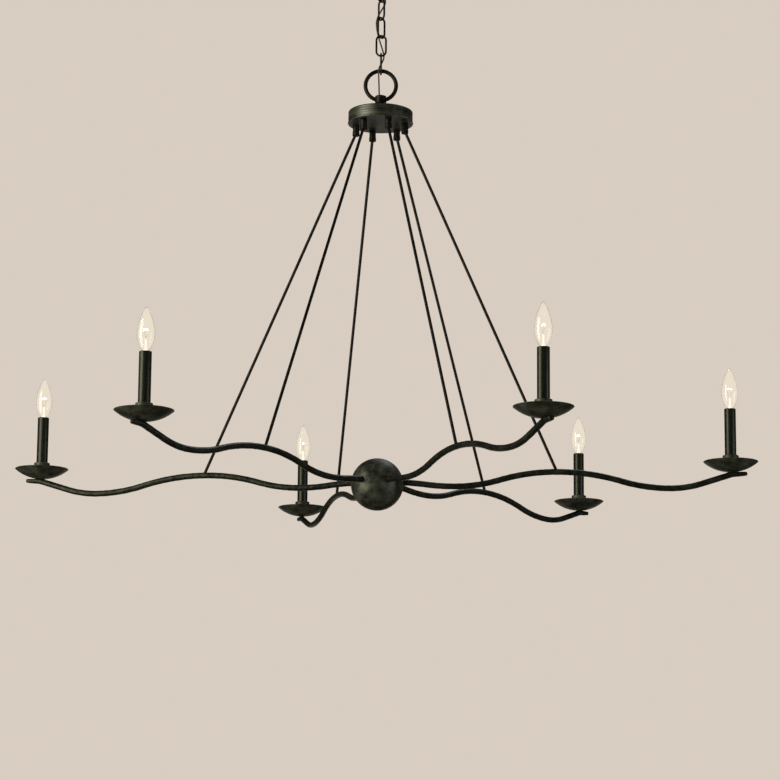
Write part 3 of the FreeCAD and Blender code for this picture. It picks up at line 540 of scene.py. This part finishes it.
def armTree():
    tree, sizes = newTree("bentBar", {
        "Bar radius": ("Float", 6 * mm), "Step": ("Float", 1.6 * mm), "Dent spacing": ("Float", 8 * mm),
        "Dent depth": ("Float", 0.4 * mm), "Flat top": ("Float", 25.4 * mm), "Under start": ("Float", 0.6845),
        "Under level": ("Float", 15.1 * mm), "Under slope": ("Float", 0.12), "Tail from": ("Float", 0.64),
        "Material": ("Material", None)})
    line = addNode(tree, "GeometryNodeMeshToCurve", links={"Mesh": sizes.outputs["Geometry"]})
    bend = addNode(tree, "GeometryNodeInputNamedAttribute", {"data_type": "FLOAT", "Name": "bend"})
    bent = addNode(tree, "GeometryNodeFilletCurve", {"mode": "POLY", "Count": 40},
                   {"Curve": line, "Radius": bend})
    even = addNode(tree, "GeometryNodeResampleCurve", {"mode": "LENGTH"},
                   {"Curve": bent, "Length": sizes.outputs["Step"]})
    # The tip is ball-nosed: the bar's radius follows a quarter circle over its last stretch.
    along = addNode(tree, "GeometryNodeSplineParameter").outputs["Length"]
    whole = addNode(tree, "GeometryNodeSplineLength").outputs["Length"]
    left = addNode(tree, "ShaderNodeMath", {"operation": "SUBTRACT"}, {0: whole, 1: along})
    share = addNode(tree, "ShaderNodeMath", {"operation": "DIVIDE", "use_clamp": True},
                    {0: left, 1: sizes.outputs["Bar radius"]})
    back = addNode(tree, "ShaderNodeMath", {"operation": "SUBTRACT", 0: 1.0}, {1: share})
    square = addNode(tree, "ShaderNodeMath", {"operation": "MULTIPLY"}, {0: back, 1: back})
    rest = addNode(tree, "ShaderNodeMath", {"operation": "SUBTRACT", 0: 1.03}, {1: square})
    nose = addNode(tree, "ShaderNodeMath", {"operation": "SQRT", "use_clamp": True}, {0: rest})
    section = addNode(tree, "GeometryNodeCurvePrimitiveCircle", {"Resolution": 28},
                      {"Radius": sizes.outputs["Bar radius"]})
    bar = addNode(tree, "GeometryNodeCurveToMesh", {"Fill Caps": True},
                  {"Curve": even, "Profile Curve": section, "Scale": nose})
    dented = dentNodes(tree, bar, sizes.outputs["Dent spacing"], sizes.outputs["Dent depth"])
    # Over the tail the top is flattened. Past the start of the underside's slope, so is the underside.
    spot = addNode(tree, "ShaderNodeSeparateXYZ", links={0: addNode(tree, "GeometryNodeInputPosition")})
    beforeTail = addNode(tree, "ShaderNodeMath", {"operation": "LESS_THAN"},
                         {0: spot.outputs["X"], 1: sizes.outputs["Tail from"]})
    lid = addNode(tree, "ShaderNodeMath", {"operation": "ADD"}, {0: sizes.outputs["Flat top"], 1: beforeTail})
    lowered = addNode(tree, "ShaderNodeMath", {"operation": "MINIMUM"}, {0: spot.outputs["Z"], 1: lid})
    past = addNode(tree, "ShaderNodeMath", {"operation": "SUBTRACT"},
                   {0: spot.outputs["X"], 1: sizes.outputs["Under start"]})
    slope = addNode(tree, "ShaderNodeMath", {"operation": "MULTIPLY_ADD"},
                    {0: past, 1: sizes.outputs["Under slope"], 2: sizes.outputs["Under level"]})
    beforeUnder = addNode(tree, "ShaderNodeMath", {"operation": "LESS_THAN", 1: 0.0}, {0: past})
    base = addNode(tree, "ShaderNodeMath", {"operation": "SUBTRACT"}, {0: slope, 1: beforeUnder})
    raised = addNode(tree, "ShaderNodeMath", {"operation": "MAXIMUM"}, {0: lowered, 1: base})
    moved = addNode(tree, "ShaderNodeCombineXYZ",
                    links={"X": spot.outputs["X"], "Y": spot.outputs["Y"], "Z": raised})
    flattened = addNode(tree, "GeometryNodeSetPosition", links={"Geometry": dented, "Position": moved})
    closeTree(tree, flattened, sizes.outputs["Material"])
    return tree


corners, bends = armRoute()
armSeed = seedPoints("armRoute", [(x * mm, 0, z * mm) for x, z in corners],
                     [(k, k + 1) for k in range(len(corners) - 1)], bend=[b * mm for b in bends])
armMesh = grown("arm", armSeed, armTree(), {
    "Bar radius": arm["barRadius"] * mm, "Dent spacing": arm["dentSpacing"] * mm,
    "Dent depth": arm["dentDepth"] * mm, "Flat top": arm["flatTop"] * mm,
    "Under start": arm["underStart"][0] * mm, "Under level": arm["underStart"][1] * mm,
    "Under slope": math.tan(math.radians(arm["underSlope"])), "Tail from": arm["tailFrom"] * mm,
    "Material": hammeredBar})
for side in sides:
    finish("hammeredArm_" + side, placed(armMesh, alongArm(side)), "fixture",
           replaces=["arm_" + side], smooth=60)
print("arms made:", len(armMesh.polygons), "faces each")


# ---- the cups, and what stands in them

candle = {
    "cupRadius": 52.7, "cupDepth": 19.5, "cupRim": 45.0, "cupWall": 1.5, "cupBore": 3.6, "cupSteps": 26,
    "lip": [(52.55, 45.7), (51.9, 46.0), (51.2, 45.6)], "insideReach": 50.5, "dentSpacing": 10.0,
    "dentDepth": 0.22,
}


def dishHeight(reach, lift=0.0):  # a shallow bowl, part of a sphere
    ball = (candle["cupRadius"] ** 2 + candle["cupDepth"] ** 2) / (2 * candle["cupDepth"])
    return candle["cupRim"] - candle["cupDepth"] + ball - math.sqrt(ball ** 2 - reach ** 2) + lift


def dentedTree():
    tree, sizes = newTree("dentedSheet", {
        "Dent spacing": ("Float", 10 * mm), "Dent depth": ("Float", 0.2 * mm), "Material": ("Material", None)})
    dented = dentNodes(tree, sizes.outputs["Geometry"], sizes.outputs["Dent spacing"],
                       sizes.outputs["Dent depth"])
    closeTree(tree, dented, sizes.outputs["Material"])
    return tree


dentedSheet = dentedTree()
dishWidth = candle["cupRadius"] - candle["cupBore"]
dishReach = [candle["cupBore"] + dishWidth * k / candle["cupSteps"] for k in range(candle["cupSteps"] + 1)]
insideReach = [r for r in reversed(dishReach) if r < candle["insideReach"]]
cupProfile = [Vector((r, dishHeight(r))) for r in dishReach]
cupProfile += [Vector(corner) for corner in candle["lip"]]
cupProfile += [Vector((r, dishHeight(r, candle["cupWall"]))) for r in insideReach]
cupSeed = lathe("cup", cupProfile, steps=128)
for side in sides:
    cup = grown("cup", placed(cupSeed, alongArm(side, candleReach)), dentedSheet, {
        "Dent spacing": candle["dentSpacing"] * mm, "Dent depth": candle["dentDepth"] * mm,
        "Material": spunCup})
    finish("spunCup_" + side, cup, "fixture", replaces=["cup_" + side], smooth=50)
print("cups made")


def copiesTree():  # a copy of one piece at every seed point, turned by its own angle
    tree, sizes = newTree("copies", {"Piece": ("Object", None), "Material": ("Material", None)})
    piece = addNode(tree, "GeometryNodeObjectInfo", {"transform_space": "ORIGINAL"},
                    {"Object": sizes.outputs["Piece"]})
    turn = addNode(tree, "GeometryNodeInputNamedAttribute", {"data_type": "FLOAT", "Name": "turn"})
    angles = addNode(tree, "ShaderNodeCombineXYZ", links={"Z": turn})
    facing = addNode(tree, "FunctionNodeEulerToRotation", links={0: angles})
    points = addNode(tree, "GeometryNodeMeshToPoints", links={"Mesh": sizes.outputs["Geometry"]})
    copies = addNode(tree, "GeometryNodeInstanceOnPoints",
                     links={"Points": points, "Instance": piece.outputs["Geometry"], "Rotation": facing})
    closeTree(tree, copies, sizes.outputs["Material"])
    return tree


copies = copiesTree()
candleSpots = [alongArm(side, candleReach).translation for side in sides]
candleTurns = [bearing[side] for side in sides]


def copied(name, mesh, spots, turns, material):
    one = bpy.data.objects.new(name + "One", mesh)
    bpy.context.scene.collection.objects.link(one)
    whole = grown(name, seedPoints(name + "Spots", [tuple(s) for s in spots], turn=turns), copies,
                  {"Piece": one, "Material": material})
    bpy.data.objects.remove(one)
    return whole


seat = {"radius": 15.5, "top": 57.5, "floor": 50.0, "foot": 25.5, "waist": 6.5, "bore": 1.6}
seatProfile = softProfile([
    (seat["bore"], seat["foot"] - 2.8), (3.5, seat["foot"] - 2.8), (3.5, seat["foot"] + 1.7),
    (9, seat["foot"] + 2.5), (9, seat["foot"] + 4, 0.6), (seat["waist"], seat["foot"] + 6.5, 2),
    (seat["waist"], seat["floor"] - 8, 4), (10, seat["floor"] - 2.2, 3), (seat["radius"], seat["floor"], 1),
    (seat["radius"], seat["top"], 1.6), (11.2, seat["top"], 0.3), (11.2, seat["floor"]), (4.8, seat["floor"]),
    (4.8, seat["floor"] + 10), (seat["bore"], seat["floor"] + 10)])
seatsMesh = copied("candleSeats", lathe("seat", seatProfile), candleSpots, candleTurns, spunCup)
finish("candleSeats", seatsMesh, "fixture", replaces=["cup_seats"])

# The sleeves are cut tube with both edges of each end rounded over.
sleeve = {"radius": 11.1, "wall": 1.0, "foot": 50.1, "top": 148.5, "rounding": 0.45}
sleeveBore = sleeve["radius"] - sleeve["wall"]
sleeveCorners = [(sleeveBore, sleeve["foot"]), (sleeve["radius"], sleeve["foot"]),
                 (sleeve["radius"], sleeve["top"]), (sleeveBore, sleeve["top"])]
sleeveProfile = softProfile([(*corner, sleeve["rounding"]) for corner in sleeveCorners])
sleevesMesh = copied("candleSleeves", lathe("sleeve", sleeveProfile), candleSpots, candleTurns, satinSleeve)
finish("candleSleeves", sleevesMesh, "fixture", replaces=["candle_sleeves"])
print("seats and sleeves made")

# ---- the bulbs: a threaded cap, a blown glass, a stem with its lead wires, and a coiled filament

bulb = {
    "foot": 131.0, "shellFoot": 4.1, "shellSteps": 52, "capTop": 17.5, "capRadius": 5.9, "pitch": 2.0,
    "thread": 0.45, "threadFrom": 4.6, "plainTop": 2.4, "glassRadius": 15.9, "widest": 47.0, "height": 98.0,
    "wall": 0.8, "stemTop": 40.0, "filamentTop": 56.0, "leadReach": 5.0, "leadRadius": 0.25, "coilTurns": 16,
    "coilRadius": 0.55, "coilArch": 1.6, "coilWire": 0.16, "stepsPerTurn": 12,
}
capProfile = [(0, 0), (2.0, 0.0), (2.6, 0.8), (2.8, 2.4)]
insulatorProfile = [(2.7, 2.2), (3.2, 2.6), (4.6, 3.7), (4.7, 4.1), (2.7, 4.1)]
shellRise = (bulb["capTop"] - bulb["shellFoot"]) / bulb["shellSteps"]
shellHeights = [bulb["shellFoot"] + shellRise * k for k in range(bulb["shellSteps"] + 1)]


def threadRipple(angle, radius, height):  # a rolled screw thread, which stops short of the glass
    threaded = bulb["threadFrom"] < height < bulb["capTop"] - bulb["plainTop"]
    if radius < bulb["capRadius"] - 0.01 or not threaded:
        return 0.0
    return bulb["thread"] * (math.cos(2 * math.pi * height / bulb["pitch"] - angle) - 1) / 2


shellProfile = [(0, bulb["shellFoot"]), (4.8, bulb["shellFoot"])]
shellProfile += [(bulb["capRadius"], h) for h in shellHeights[2:]] + [(0, bulb["capTop"])]
capMesh = merged("bulbCap", [lathe("capShell", shellProfile, closed=False, steps=48, ripple=threadRipple),
                             lathe("capTip", capProfile + [(0, 2.4)], closed=False, steps=32)])
insulatorMesh = lathe("capInsulator", insulatorProfile, steps=32)
neckPoint, widePoint = (5.6, bulb["capTop"] + 0.05), (bulb["glassRadius"], bulb["widest"])
glassOuter = [(0, bulb["capTop"] + 0.05)] + arcThrough(neckPoint, (12.8, 31), widePoint, 20)
glassOuter += arcThrough(widePoint, (11.6, 74), (1.4, bulb["height"] - 1.2), 30)[1:] + [(0, bulb["height"])]
insideNeck, insideWide = (4.6, bulb["capTop"] + 1.2), (bulb["glassRadius"] - bulb["wall"], bulb["widest"])
glassInner = [(0, bulb["capTop"] + 1.2)] + arcThrough(insideNeck, (12.0, 31.2), insideWide, 20)
glassInner += arcThrough(insideWide, (10.7, 74), (0.9, bulb["height"] - 4), 30)[1:]
glassInner.append((0, bulb["height"] - 3.4))
innerMesh = lathe("glassInside", glassInner, closed=False, steps=64)
innerMesh.flip_normals()
glassMesh = merged("bulbGlass", [lathe("glassOutside", glassOuter, closed=False, steps=64), innerMesh])
stemFoot = bulb["capTop"] + 1.4
stemProfile = [(0, stemFoot), (3.9, stemFoot), (3.2, stemFoot + 3), (1.7, stemFoot + 8), (1.5, 33), (1.9, 37),
               (1.2, bulb["stemTop"]), (0, bulb["stemTop"] + 0.6)]
stemMesh = lathe("bulbStem", stemProfile, closed=False, steps=32)


def leadPoints(sign):
    reach = bulb["leadReach"]
    return [Vector((sign * x, 0, z)) * mm for x, z in
            ((0.8, bulb["stemTop"] - 1), (1.0, bulb["stemTop"] + 2), (reach * 0.6, bulb["stemTop"] + 8),
             (reach, bulb["filamentTop"] - 2), (reach, bulb["filamentTop"]))]


def coilPoints():  # the filament: a close coil wound along a low arch between the leads
    count = bulb["coilTurns"] * bulb["stepsPerTurn"]
    points = []
    for k in range(count + 1):
        share = k / count
        turn = 2 * math.pi * bulb["coilTurns"] * share
        arch = bulb["coilArch"] * math.sin(math.pi * share)
        points.append(Vector((bulb["leadReach"] * (2 * share - 1), bulb["coilRadius"] * math.cos(turn),
                              bulb["filamentTop"] + arch + bulb["coilRadius"] * math.sin(turn))) * mm)
    return points


leads = [tube("lead", leadPoints(sign), bulb["leadRadius"] * mm, 8) for sign in (-1, 1)]
leadsMesh = merged("bulbLeads", leads)
coilMesh = tube("filament", coilPoints(), bulb["coilWire"] * mm, 6)
for side in sides:
    where = alongArm(side, candleReach) @ Matrix.Translation((0, 0, bulb["foot"] * mm))
    body = "bulb_" + side
    finish("bulbGlass_" + side, placed(glassMesh, where), body, bulbGlass,
           replaces=["bulb_glass_" + side], smooth=0)
    finish("bulbCap_" + side, placed(capMesh, where), body, pressedBrass,
           replaces=["bulb_base_" + side], smooth=50)
    finish("bulbInsulator_" + side, placed(insulatorMesh, where), body, blackGlass)
    finish("bulbStem_" + side, placed(stemMesh, where), body, stemGlass, smooth=0)
    finish("bulbLeads_" + side, placed(leadsMesh, where), body, leadWire)
    finish("filament_" + side, placed(coilMesh, where), body, tungsten)
print("bulbs made")

# ---- the hub: a spun shell with a bead at its lower edge, its bosses and the knurled lock collars

hub = {
    "radius": 64.0, "wall": 1.2, "height": 25.5, "bead": 1.0, "sideFrom": 3.4, "sideSteps": 60,
    "shoulder": 3.0, "bore": 5.1, "lineStep": 4.3, "fineStep": 2.3, "lineDepth": 0.24,
}


def spinMarks(angle, radius, height):  # the spinning tool leaves uneven level lines on the side
    onSide = hub["sideFrom"] < height < hub["height"] - hub["shoulder"]
    if radius < hub["radius"] - 0.5 or not onSide:
        return 0.0
    uneven = 0.7 + 0.3 * math.sin(3 * angle + height / 2)
    broad = math.cos(2 * math.pi * height / hub["lineStep"])
    fine = 0.5 * math.cos(2 * math.pi * height / hub["fineStep"] + 1)
    return hub["lineDepth"] * uneven * (broad + fine - 1.5) / 3  # always inwards


wide, tall, under = hub["radius"], hub["height"], hub["height"] - hub["wall"]
inside = wide - hub["wall"]
sideTop = tall - hub["shoulder"]
sideRise = (sideTop - hub["sideFrom"]) / hub["sideSteps"]
hubProfile = [(inside, 0)] + arcThrough((wide, 0), (wide + hub["bead"], 1.6), (wide, 3.2), 10)
hubProfile += [(wide, hub["sideFrom"] + sideRise * k) for k in range(hub["sideSteps"] + 1)]
hubProfile += arcThrough((wide, sideTop), (wide - 0.88, tall - 0.88), (wide - hub["shoulder"], tall), 8)[1:]
hubProfile += [(r, tall) for r in (54, 40, 26, 12, hub["bore"])]
hubProfile += [(r, under) for r in (hub["bore"], 26, 54)]
hubProfile += arcThrough((wide - 3.2, under), (wide - 1.9, tall - 2.1), (inside, tall - 4), 5)
hubMesh = placed(lathe("hubShell", hubProfile, steps=192, ripple=spinMarks), Matrix.Translation((0, 0, hubZ)))
finish("spunHub", hubMesh, "fixture", spunHub, ["hub_shell"], 35)

record = frame["record"]
jointZ = {j["name"]: j["pos_m"][2] for j in record["behaviour"]["joints"] if "pos_m" in j}
jointTurn = {j["name"]: math.atan2(j["axis"][1], j["axis"][0]) for j in record["behaviour"]["joints"]}
boss = {
    "circle": 49.5, "radius": 6.5, "length": 13.5, "gap": 0.02, "stub": 5.0, "stubRadius": 4.5,
    "wireBore": 2.3, "turn": -11.7, "collarRadius": 7.1, "collarLength": 8.6, "collarBore": 3.2,
    "collarFace": 6.2, "flutes": 36, "fluteDepth": 0.35, "fluteSlant": 1.1, "knurlFrom": 1.2,
    "knurlSteps": 18,
}
bossTurns = [math.radians(boss["turn"] + 360 / len(sides) * k) for k in range(len(sides))]
bossFoot = hubZ - boss["length"] * mm
bossReach = boss["circle"] * mm
bossSpots = [Vector((bossReach * math.cos(turn), bossReach * math.sin(turn), bossFoot)) for turn in bossTurns]
shoulder, stubTop = boss["length"] - boss["gap"], boss["length"] + boss["stub"]
bossProfile = softProfile([
    (boss["wireBore"], 0), (boss["radius"], 0, 0.6), (boss["radius"], shoulder, 0.3),
    (boss["stubRadius"], shoulder), (boss["stubRadius"], stubTop, 0.4), (boss["wireBore"], stubTop)])
bossesMesh = copied("rodBosses", lathe("boss", bossProfile, steps=48), bossSpots, bossTurns, drawnWire)
finish("rodBosses", bossesMesh, "fixture", replaces=["rod_bosses"])


def knurl(angle, radius, height):  # two crossed sets of flutes make the diamonds
    knurled = boss["knurlFrom"] < height < boss["collarLength"] - boss["knurlFrom"]
    if radius < boss["collarRadius"] - 0.3 or not knurled:
        return 0.0
    left = abs(math.sin(boss["flutes"] / 4 * angle + height * boss["fluteSlant"]))
    right = abs(math.sin(boss["flutes"] / 4 * angle - height * boss["fluteSlant"]))
    return -boss["fluteDepth"] * (1 - min(left, right))


outside, collarTop = boss["collarRadius"], boss["collarLength"]
knurlRise = (collarTop - 2 * boss["knurlFrom"]) / boss["knurlSteps"]
collarProfile = [(boss["collarBore"], 0), (boss["collarFace"], 0), (outside - 0.4, 0.4), (outside, 1.0)]
collarProfile += [(outside, boss["knurlFrom"] + knurlRise * k) for k in range(boss["knurlSteps"] + 1)]
collarProfile += [(outside, collarTop - 1.0), (outside - 0.4, collarTop - 0.45),
                  (boss["collarFace"], collarTop - 0.1), (boss["collarBore"], collarTop - 0.1)]
collarSpots = [spot - Vector((0, 0, collarTop * mm)) for spot in bossSpots]
collarMesh = lathe("collar", collarProfile, steps=144, ripple=knurl)
collarsMesh = copied("lockCollars", collarMesh, collarSpots, bossTurns, drawnWire)
finish("lockCollars", collarsMesh, "fixture", replaces=["lock_collars"], smooth=50)
print("hub made")

# ---- the chain: each link is an oval of wire with a flat weld halfway up one side

link = {"bend": 9.5, "straight": 23.0, "wire": 2.0, "weldLength": 3.2, "weldDepth": 0.22}
ring = {"radius": 30.5, "wire": 4.0, "weldLength": 5.0, "weldDepth": 0.3, "weldTurn": 0.5, "steps": 96}


def wireTree():
    tree, sizes = newTree("weldedWire", {
        "Wire": ("Float", 2 * mm), "Step": ("Float", 0.6 * mm), "Bend": ("Float", 9.5 * mm),
        "Weld place": ("Vector", None), "Weld length": ("Float", 3 * mm), "Weld depth": ("Float", 0.2 * mm),
        "Material": ("Material", None)})
    line = addNode(tree, "GeometryNodeMeshToCurve", links={"Mesh": sizes.outputs["Geometry"]})
    bent = addNode(tree, "GeometryNodeFilletCurve", {"mode": "POLY", "Count": 32, "Limit Radius": True},
                   {"Curve": line, "Radius": sizes.outputs["Bend"]})
    even = addNode(tree, "GeometryNodeResampleCurve", {"mode": "LENGTH"},
                   {"Curve": bent, "Length": sizes.outputs["Step"]})
    section = addNode(tree, "GeometryNodeCurvePrimitiveCircle", {"Resolution": 20},
                      {"Radius": sizes.outputs["Wire"]})
    wire = addNode(tree, "GeometryNodeCurveToMesh", links={"Curve": even, "Profile Curve": section})
    far = addNode(tree, "ShaderNodeVectorMath", {"operation": "DISTANCE"},
                  {0: addNode(tree, "GeometryNodeInputPosition"), 1: sizes.outputs["Weld place"]})
    near = addNode(tree, "ShaderNodeMapRange", {
        "interpolation_type": "SMOOTHSTEP", "From Min": 0.0, "To Min": -1.0, "To Max": 0.0},
        {"Value": far.outputs["Value"], "From Max": sizes.outputs["Weld length"]})
    rough = addNode(tree, "ShaderNodeTexNoise", {"Scale": 1 / (0.9 * mm), "Detail": 1},
                    {"Vector": addNode(tree, "GeometryNodeInputPosition")})
    uneven = addNode(tree, "ShaderNodeMath", {"operation": "MULTIPLY"}, {0: near, 1: rough.outputs[0]})
    amount = addNode(tree, "ShaderNodeMath", {"operation": "MULTIPLY"},
                     {0: uneven, 1: sizes.outputs["Weld depth"]})
    shift = addNode(tree, "ShaderNodeVectorMath", {"operation": "SCALE"},
                    {0: addNode(tree, "GeometryNodeInputNormal"), "Scale": amount})
    flattened = addNode(tree, "GeometryNodeSetPosition", links={"Geometry": wire, "Offset": shift})
    closeTree(tree, flattened, sizes.outputs["Material"])
    return tree


weldedWire = wireTree()
linkTop = link["straight"] + 2 * link["bend"]
oval = [(-link["bend"], 0), (link["bend"], 0), (link["bend"], linkTop), (-link["bend"], linkTop)]
ovalSeed = seedPoints("oval", [(x * mm, 0, z * mm) for x, z in oval], [(0, 1), (1, 2), (2, 3), (3, 0)])
linkMesh = grown("link", ovalSeed, weldedWire, {
    "Wire": link["wire"] * mm, "Bend": (link["bend"] - 0.01) * mm,  # just short of the half width
    "Weld place": (link["bend"] * mm, 0, linkTop / 2 * mm), "Weld length": link["weldLength"] * mm,
    "Weld depth": link["weldDepth"] * mm, "Material": drawnWire})
belowLink = {1: "ring_swing", 2: "link_1_swing", 3: "link_2_swing", 4: "link_3_swing", 5: "link_4_swing"}
for number, joint in belowLink.items():
    where = Matrix.Translation((0, 0, jointZ[joint])) @ Matrix.Rotation(jointTurn[joint], 4, "Z")
    finish(f"weldedLink_{number}", placed(linkMesh, where), f"link_{number}",
           replaces=[f"chain_link_{number}"], smooth=60)

ringMiddle = sum(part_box("hanging_ring"), Vector()) / 2


def onRing(turn):  # the middle of the ring's wire, that far round it
    reach = ring["radius"] * mm
    return ringMiddle + Vector((reach * math.cos(turn), 0, reach * math.sin(turn)))


ringSteps = range(ring["steps"])
circle = [onRing(2 * math.pi * k / ring["steps"]) for k in ringSteps]
ringSeed = seedPoints("ringLine", circle, [(k, (k + 1) % ring["steps"]) for k in ringSteps])
ringMesh = grown("ring", ringSeed, weldedWire, {
    "Wire": ring["wire"] * mm, "Bend": 0.0, "Step": 1.0 * mm, "Weld place": onRing(ring["weldTurn"]),
    "Weld length": ring["weldLength"] * mm, "Weld depth": ring["weldDepth"] * mm, "Material": drawnWire})
finish("weldedRing", ringMesh, "ring", replaces=["hanging_ring"], smooth=60)
print("chain and ring made")

# ---- the supply cord: one route down through the chain, cut halfway between its joints

cord = {"diameter": 3.0, "bendReach": 8.0, "neckBend": 9.0, "route": [
    (0, 0, -342), (0, 0, -329), (-1.6, -5.8, -318), (-2.9, -8.0, -304), (-3.4, -7.8, -286),
    (-4.4, -7.4, -262), (-4.9, -7.4, -243), (1.2, 2.0, -230), (7.0, 7.4, -215), (2.0, 9.2, -196),
    (-4.4, 9.2, -177), (-9.6, 4.2, -157), (-10.2, -0.4, -139), (0.0, -1.6, -120), (10.2, -1.8, -102),
    (0.0, -0.4, -83), (-10.2, 0.6, -66), (-6.8, 6.2, -50), (-6.4, -5.4, -30), (-6.7, -5.6, -14),
    (-16.7, -14.0, -10.4), (-19.9, -16.7, -10)]}


def smoothLine(points):  # the route's own smooth line, as points along it
    curve = bpy.data.curves.new("cordLine", "CURVE")
    curve.dimensions = "3D"
    spline = curve.splines.new("NURBS")
    spline.points.add(len(points) - 1)
    for item, point in zip(spline.points, points):
        item.co = (*(value * mm for value in point), 1)
    spline.order_u = 3
    spline.use_endpoint_u = True
    spline.resolution_u = 10
    holder = bpy.data.objects.new("cordLine", curve)
    bpy.context.scene.collection.objects.link(holder)
    mesh = bpy.data.meshes.new_from_object(holder)
    line = [vertex.co.copy() for vertex in mesh.vertices]
    bpy.data.objects.remove(holder)
    return line


# Each stretch spans one pivot, the bend above the neck or a joint, and is cut halfway to the pivots on either
# side.
cordLine = smoothLine(cord["route"])
bodiesUp = ["fixture", "ring", "link_1", "link_2", "link_3", "link_4", "link_5", "ceiling"]
jointsAboveNeck = ["ring_swing"] + [f"link_{k}_swing" for k in range(1, 6)]
cordNodes = [["supply_cord_hub"], ["supply_cord_ring"]] + [[f"supply_cord_{k}"] for k in range(1, 5)]
cordNodes.append(["supply_cord_5", "supply_cord_canopy"])
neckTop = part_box("neck")[1].z
pivots = [neckTop + cord["neckBend"] * mm] + [jointZ[name] for name in jointsAboveNeck]
splits = [(low + high) / 2 for low, high in zip(pivots, pivots[1:])]


def nearestTo(height):
    return min(range(len(cordLine)), key=lambda k: abs(cordLine[k].z - height))


ends = [0] + [nearestTo(height) for height in splits] + [len(cordLine) - 1]
for index, (low, high) in enumerate(zip(bodiesUp, bodiesUp[1:])):
    stretch = cordLine[ends[index]:ends[index + 1] + 1]
    mesh = tube("cordStretch", stretch, cord["diameter"] / 2 * mm, 14)
    piece = finish(f"supplyCord_{index + 1}", mesh, None, vinylSheath, cordNodes[index])
    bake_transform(piece)
print("cord made, in", len(cordNodes), "stretches")

# ---- the pieces whose built shape is already right take their finish

dressed = {
    "mounting_strap": zincSteel, "canopy_nipple": zincSteel, "nipple_nut": zincSteel, "neck_nut": zincSteel,
    "canopy": spunHub, "canopy_loop": drawnWire, "collar_nut": drawnWire, "wire_nuts": nylonNut,
    "neck": drawnWire, "hub_plate": spunCup, "tie_rods": drawnWire, "ball_upper": cloudedBall,
    "ball_lower": cloudedBall, "arm_hub": castBlock, "ball_screw": drawnWire, "lamp_sockets": phenolic,
    "lamp_wiring": wireInsulation,
}
for name, material in dressed.items():
    for holder in frame["nodes"][name].material_slots:
        holder.material = material
print("carried pieces dressed")

bpy.context.view_layer.update()
